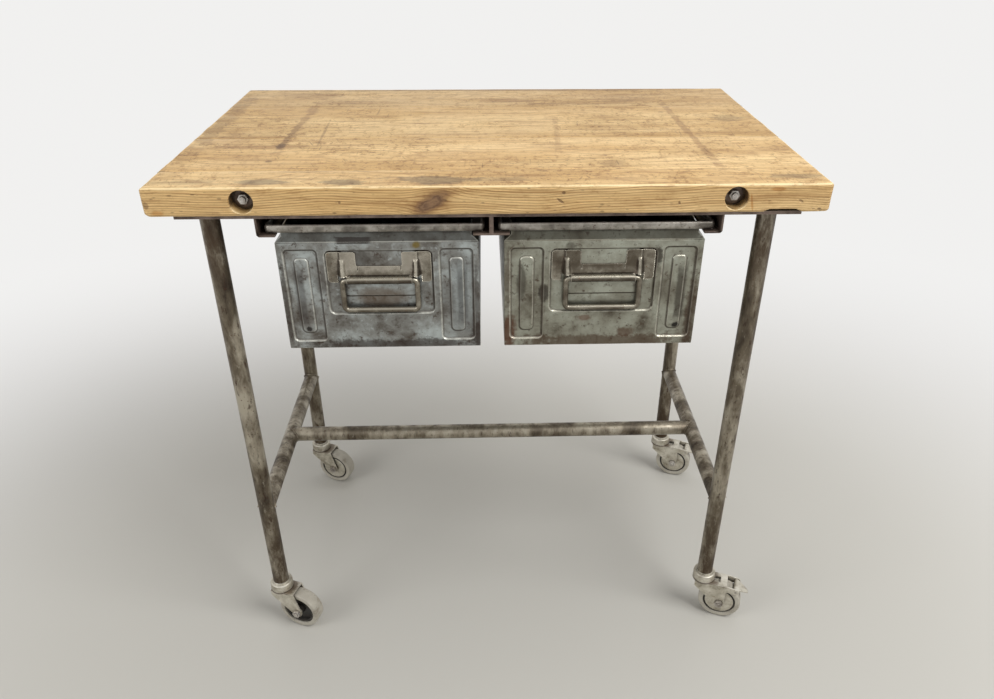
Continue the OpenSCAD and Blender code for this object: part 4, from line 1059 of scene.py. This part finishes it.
def bracketRise(x, down):
    shape = bracketShape
    far = abs(x)
    t = max(0.0, min(1.0, (down - shape["earFrom"]) / (shape["riseTo"] - shape["earFrom"])))
    begun = easeStep((down - shape["earFrom"]) / shape["earEase"])
    ear = shape["ear"] * (shape["earStart"] * begun + (1 - shape["earStart"]) * t)
    outside, inside = shape["flank"] + shape["flankOut"] * t, shape["flank"] + shape["flankIn"] * t ** 4
    gap = abs(far - shape["ridge"]) - shape["crown"]
    side = max(0.0, min(1.0, 1.0 - gap / (outside if far > shape["ridge"] else inside)))
    side = 0.5 * side + 0.5 * easeStep(side)
    plate = shape["step"] * easeStep((shape["stepEnd"] - far) / shape["endEase"])
    raised = easeStep((down - shape["notchDown"]) / shape["riseEase"])
    raised *= easeStep((shape["riseEnd"] - far) / shape["endEase"])
    plate += (shape["rise"] - shape["step"]) * raised
    return plate + (ear - plate) * side if ear > plate else plate


def drawerBracket(side):
    node = f"drawer_{side}_bracket"
    shape = bracketShape
    low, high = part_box(node)
    middle = (low.x + high.x) / 2
    half, tall = (high.x - low.x) / 2, high.z - low.z
    bailLow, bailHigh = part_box(f"drawer_{side}_bail")
    wire = (bailHigh.y - bailLow.y) / 2
    axisY, axisZ = (bailLow.y + bailHigh.y) / 2, bailHigh.z - wire
    plateY = axisY + shape["back"]
    pitch = shape["pitch"]
    columns = 2 * round(half / pitch)
    cell = 2 * half / columns
    curl, foot, notch = (cell * round(shape[name] / cell) for name in ("curl", "foot", "notch"))
    plateRows = round((high.z - axisZ - shape["plateEnd"]) / pitch)
    bottom = plateRows * pitch
    rows = plateRows + shape["curlRows"]
    bm = bmesh.new()
    bmesh.ops.create_grid(bm, x_segments=columns, y_segments=rows, size=0.5)
    edgeLayer = bm.verts.layers.float.new("pressEdge")
    wallShadeLayer = bm.verts.layers.float.new("pressWallShade")
    grid, near, small = {}, shape["near"], 1e-5
    for vert in bm.verts:
        x = vert.co.x * 2 * half
        row = round((0.5 - vert.co.y) * rows)
        grid[vert] = (abs(x), row)
        rolled = abs(x) <= curl + small
        down = min(row, plateRows) * pitch
        rise = bracketRise(x, down)
        start = -math.acos(max(-0.9, min(0.9, (bracketRise(x, bottom) - shape["back"]) / shape["tunnel"])))
        k = max(0.0, (row - plateRows) / shape["curlRows"])
        angle = start + (math.radians(shape["curlEnd"]) - start) * k
        left, right = bracketRise(x - near, down), bracketRise(x + near, down)
        above, below = bracketRise(x, down - near), bracketRise(x, down + near)
        if rolled and row > plateRows:
            # On the roll, the lip's front gets a painted highlight and its underside painted shade
            lipHighlight = easeStep((angle + 1.75) / 0.3) * easeStep((-0.70 - angle) / 0.40)
            vert[edgeLayer] = 0.8 * lipHighlight
            vert[wallShadeLayer] = 0.32 * easeStep((angle + 0.9) / 0.9) + easeStep((-1.60 - angle) / 0.3)
            y, z = axisY - shape["tunnel"] * math.cos(angle), axisZ - shape["tunnel"] * math.sin(angle)
        else:
            # On the plate, the crease before the roll, the ears' outer flanks and slopes that face left get painted
            # shade, and the ears' crowns and ridges a painted highlight
            creaseShade = easeStep((row - plateRows + 3.0) / 2.0) if abs(x) < curl - 0.002 else 0.0
            crown = easeStep(1.2 - abs(abs(x) - shape["ridge"]) / 0.0024) * easeStep((down - shape["earFrom"]) / 0.012)
            outer = (left - right if x > 0 else right - left) / near
            bend = 1.6 * (4 * rise - left - right - above - below) / near
            leftFacingShade = max(0.0, 0.22 * (right - left) / near)
            vert[edgeLayer] = (1 - creaseShade) * max(bend, 1.0 * crown)
            vert[wallShadeLayer] = (max(0.0, 0.32 * outer) + leftFacingShade) * (1 - crown) + creaseShade
            y, z = plateY - rise, high.z - down - k * (tall - bottom)
        vert.co = Vector((x, y, z))
    gone = []
    for face in bm.faces:
        xs = [grid[v][0] for v in face.verts]
        deepest = max(grid[v][1] for v in face.verts)
        inNotch = max(xs) <= notch + small and deepest * pitch <= shape["notchDown"] + small
        inKnuckle = min(xs) >= curl - small and max(xs) <= foot + small and deepest > plateRows - 1
        if inNotch or inKnuckle:
            gone.append(face)
    bmesh.ops.delete(bm, geom=gone, context="FACES")
    corner, notchRound, notchTop = shape["corner"], shape["notchRound"], shape["notchTop"]
    for vert in bm.verts:
        x, z = vert.co.x, vert.co.z
        for edge in (high.z - z, z - low.z if abs(x) > foot else 1.0):
            if edge < corner and abs(x) > half - corner:
                reach = half - corner + math.sqrt(max(0.0, corner * corner - (corner - edge) ** 2))
                vert.co.x = math.copysign(min(abs(x), reach), x)
        if vert.is_boundary and abs(x) <= notch + small:
            dx, dz = abs(x) - notch + notchRound, z - high.z + shape["notchDown"] - notchRound
            if dx > 0 and dz < 0:
                size = math.hypot(dx, dz)
                vert.co.x = math.copysign(notch - notchRound + dx / size * notchRound, x)
                vert.co.z = high.z - shape["notchDown"] + notchRound + dz / size * notchRound
            if high.z - z < notchTop and abs(x) > notch - small:
                gap = notchTop - (high.z - z)
                vert.co.x = math.copysign(notch + notchTop - math.sqrt(notchTop ** 2 - gap ** 2), x)
    bmesh.ops.remove_doubles(bm, verts=bm.verts[:], dist=2e-5)
    bmesh.ops.translate(bm, verts=bm.verts[:], vec=(middle, 0, 0))
    piece = pressedPiece(node + "_pressed", bm, finish["handle_steel"], node, shape["sheet"])
    roundEdges(piece, shape["edge"], 2, 60, False)


for side in ("left", "right"):
    drawerBracket(side)
    paintNode(f"drawer_{side}_bail", finish["handle_steel"])
    paintNode(f"drawer_{side}_tub", finish[f"drawer_steel_{side}"])
print("brackets and tubs made")


# Frame, rails and fixings keep their solids' shapes with worn, rounded edges
for name in ("frame_bar_front", "frame_bar_rear", "frame_bar_left", "frame_bar_right"):
    softened(name, finish["rail_steel"], 0.0008, 2)
for name in ("rail_left", "rail_right", "rail_centre"):
    softened(name, finish["rail_steel"], 0.0010, 3)
for name in ("leg_front_left", "leg_front_right", "leg_rear_left", "leg_rear_right",
             "stretcher_left", "stretcher_right", "stretcher_centre"):
    paintNode(name, finish["tube_steel"])
for name in ("tie_rods", "frame_screws", "swivel_balls"):
    paintNode(name, finish["bolt_zinc"])
softened("tie_rod_washers", finish["rail_steel"], 0.0004, 2)
softened("tie_rod_nuts", finish["bolt_zinc"], 0.0007, 2)
print("frame and fixings dressed")


# Weld beads where the tubes meet: a lumpy ring that follows the saddle
weld = {"bead": 0.0021, "below": 0.0004, "lumps": 26, "steps": 72}


def weldRing(name, centre, radius, axis, sign):
    lengthwise = "xyz".index(axis)
    bm = bmesh.new()
    made = bmesh.ops.create_circle(bm, cap_ends=False, segments=8, radius=weld["bead"],
                                   matrix=Matrix.Translation((radius, 0, 0)) @ Matrix.Rotation(math.pi / 2, 4, "X"))
    edges = list({edge for vert in made["verts"] for edge in vert.link_edges})
    bmesh.ops.spin(bm, geom=made["verts"] + edges, cent=(0, 0, 0), axis=(0, 0, 1), angle=math.tau,
                   steps=weld["steps"], use_merge=True, use_duplicate=False)
    bmesh.ops.remove_doubles(bm, verts=bm.verts[:], dist=1e-6)
    for vert in bm.verts:
        x, y, z = vert.co
        a = math.atan2(y, x)
        spread = math.hypot(x, y)
        swell = 1.0 + 0.16 * math.cos(a * weld["lumps"]) + 0.35 * noise.noise(Vector((x * 90, y * 90, centre[0] * 9)))
        out, rise = (spread - radius) * swell, z * swell
        across = (radius + out) * math.cos(a), (radius + out) * math.sin(a)
        dip = abs(math.sin(a)) if axis == "y" else abs(math.cos(a))
        lift = sign * (rise + (0.0 if axis == "z" else radius * dip))
        vert.co = across[:lengthwise] + (lift,) + across[lengthwise:]
    bmesh.ops.translate(bm, verts=bm.verts[:], vec=centre)
    bmesh.ops.recalc_face_normals(bm, faces=bm.faces[:])
    newPiece(name, bm, finish["tube_steel"], (), "table", 60)


def weldFrame():
    legLow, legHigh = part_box("leg_front_left")
    tube = (legHigh.x - legLow.x) / 2
    crossLow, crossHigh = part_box("stretcher_centre")
    level, crossY = (crossLow.z + crossHigh.z) / 2, (crossLow.y + crossHigh.y) / 2
    for end, sign in (("front", 1), ("rear", -1)):
        for side in ("left", "right"):
            low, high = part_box(f"leg_{end}_{side}")
            x, y = (low.x + high.x) / 2, (low.y + high.y) / 2
            weldRing(f"weld_{end}_{side}_stretcher", (x, y, level), tube, "y", sign)
            weldRing(f"weld_{end}_{side}_top", (x, y, high.z - weld["below"]), tube, "z", -1)
    for side, sign in (("left", 1), ("right", -1)):
        low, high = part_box(f"stretcher_{side}")
        weldRing(f"weld_centre_{side}", ((low.x + high.x) / 2, crossY, level), tube, "x", sign)


weldFrame()
print("welds laid")


# Casters: rounded stampings, dished guards and soft tyres
casterParts = {"head": ("caster_zinc", 0.0007, 2), "fork": ("caster_zinc", 0.0009, 3),
               "guards": ("caster_zinc", 0.0005, 2), "axle": ("bolt_zinc", 0.0005, 2),
               "pedal": ("caster_zinc", 0.0008, 2)}
for place in ("fl", "fr", "rl", "rr"):
    for part, (look, width, segments) in casterParts.items():
        name = f"caster_{place}_{part}"
        if name in cadNodes:
            softened(name, finish[look], width, segments)
    paintNode(f"caster_{place}_hub", finish["hub"])
    softened(f"caster_{place}_tyre", finish["rubber"], 0.0008, 2, angle=50, limit=40)
print("casters made")


# Floor: one pale sheet that fades into the room
floorShape = {"size": 12.0, "drop": 0.0004, "near": (0.56, 0.545, 0.50, 1), "far": (0.93, 0.92, 0.905, 1),
              "misty": (0.985, 0.985, 0.985), "narrow": 0.8, "forward": 0.3, "shade": (0.5, 2.0), "fade": (0.70, 2.05)}


def layFloor():
    material, tree, shader = newMaterial("studio_floor", 0.0, 0.75)
    place = objectPlace(tree)
    mist = cloud(place, 1.4, 3.0, 0.5)
    x, y, _ = axes(place)
    away = distance(x * floorShape["narrow"], y + floorShape["forward"])
    colour = mixed(span(away, *floorShape["shade"]), floorShape["near"], floorShape["far"])
    colour = mixed(span(mist, 0.3, 0.7), shaded(colour, floorShape["misty"]), colour)
    connect(colour, shader, "Base Color")
    # Far from the table the floor has the wall's colour, and from below it can be looked through
    seen = seenDirectly(tree)
    glow = fromNode(tree, "ShaderNodeEmission", 0, {"Color": light["wall"]})
    both = eitherShader(seen * span(away, *floorShape["fade"]), shader.outputs[0], glow)
    below = seen * fromNode(tree, "ShaderNodeNewGeometry", "Backfacing")
    clear = fromNode(tree, "ShaderNodeBsdfTransparent", 0)
    connect(eitherShader(below, both, clear), tree.nodes["Material Output"], "Surface")
    bm = bmesh.new()
    bmesh.ops.create_grid(bm, x_segments=4, y_segments=4, size=floorShape["size"])
    bmesh.ops.translate(bm, verts=bm.verts[:], vec=(0, 0, -floorShape["drop"]))
    floor = meshObject("floor", bm)
    floor.data.materials.append(material)


layFloor()
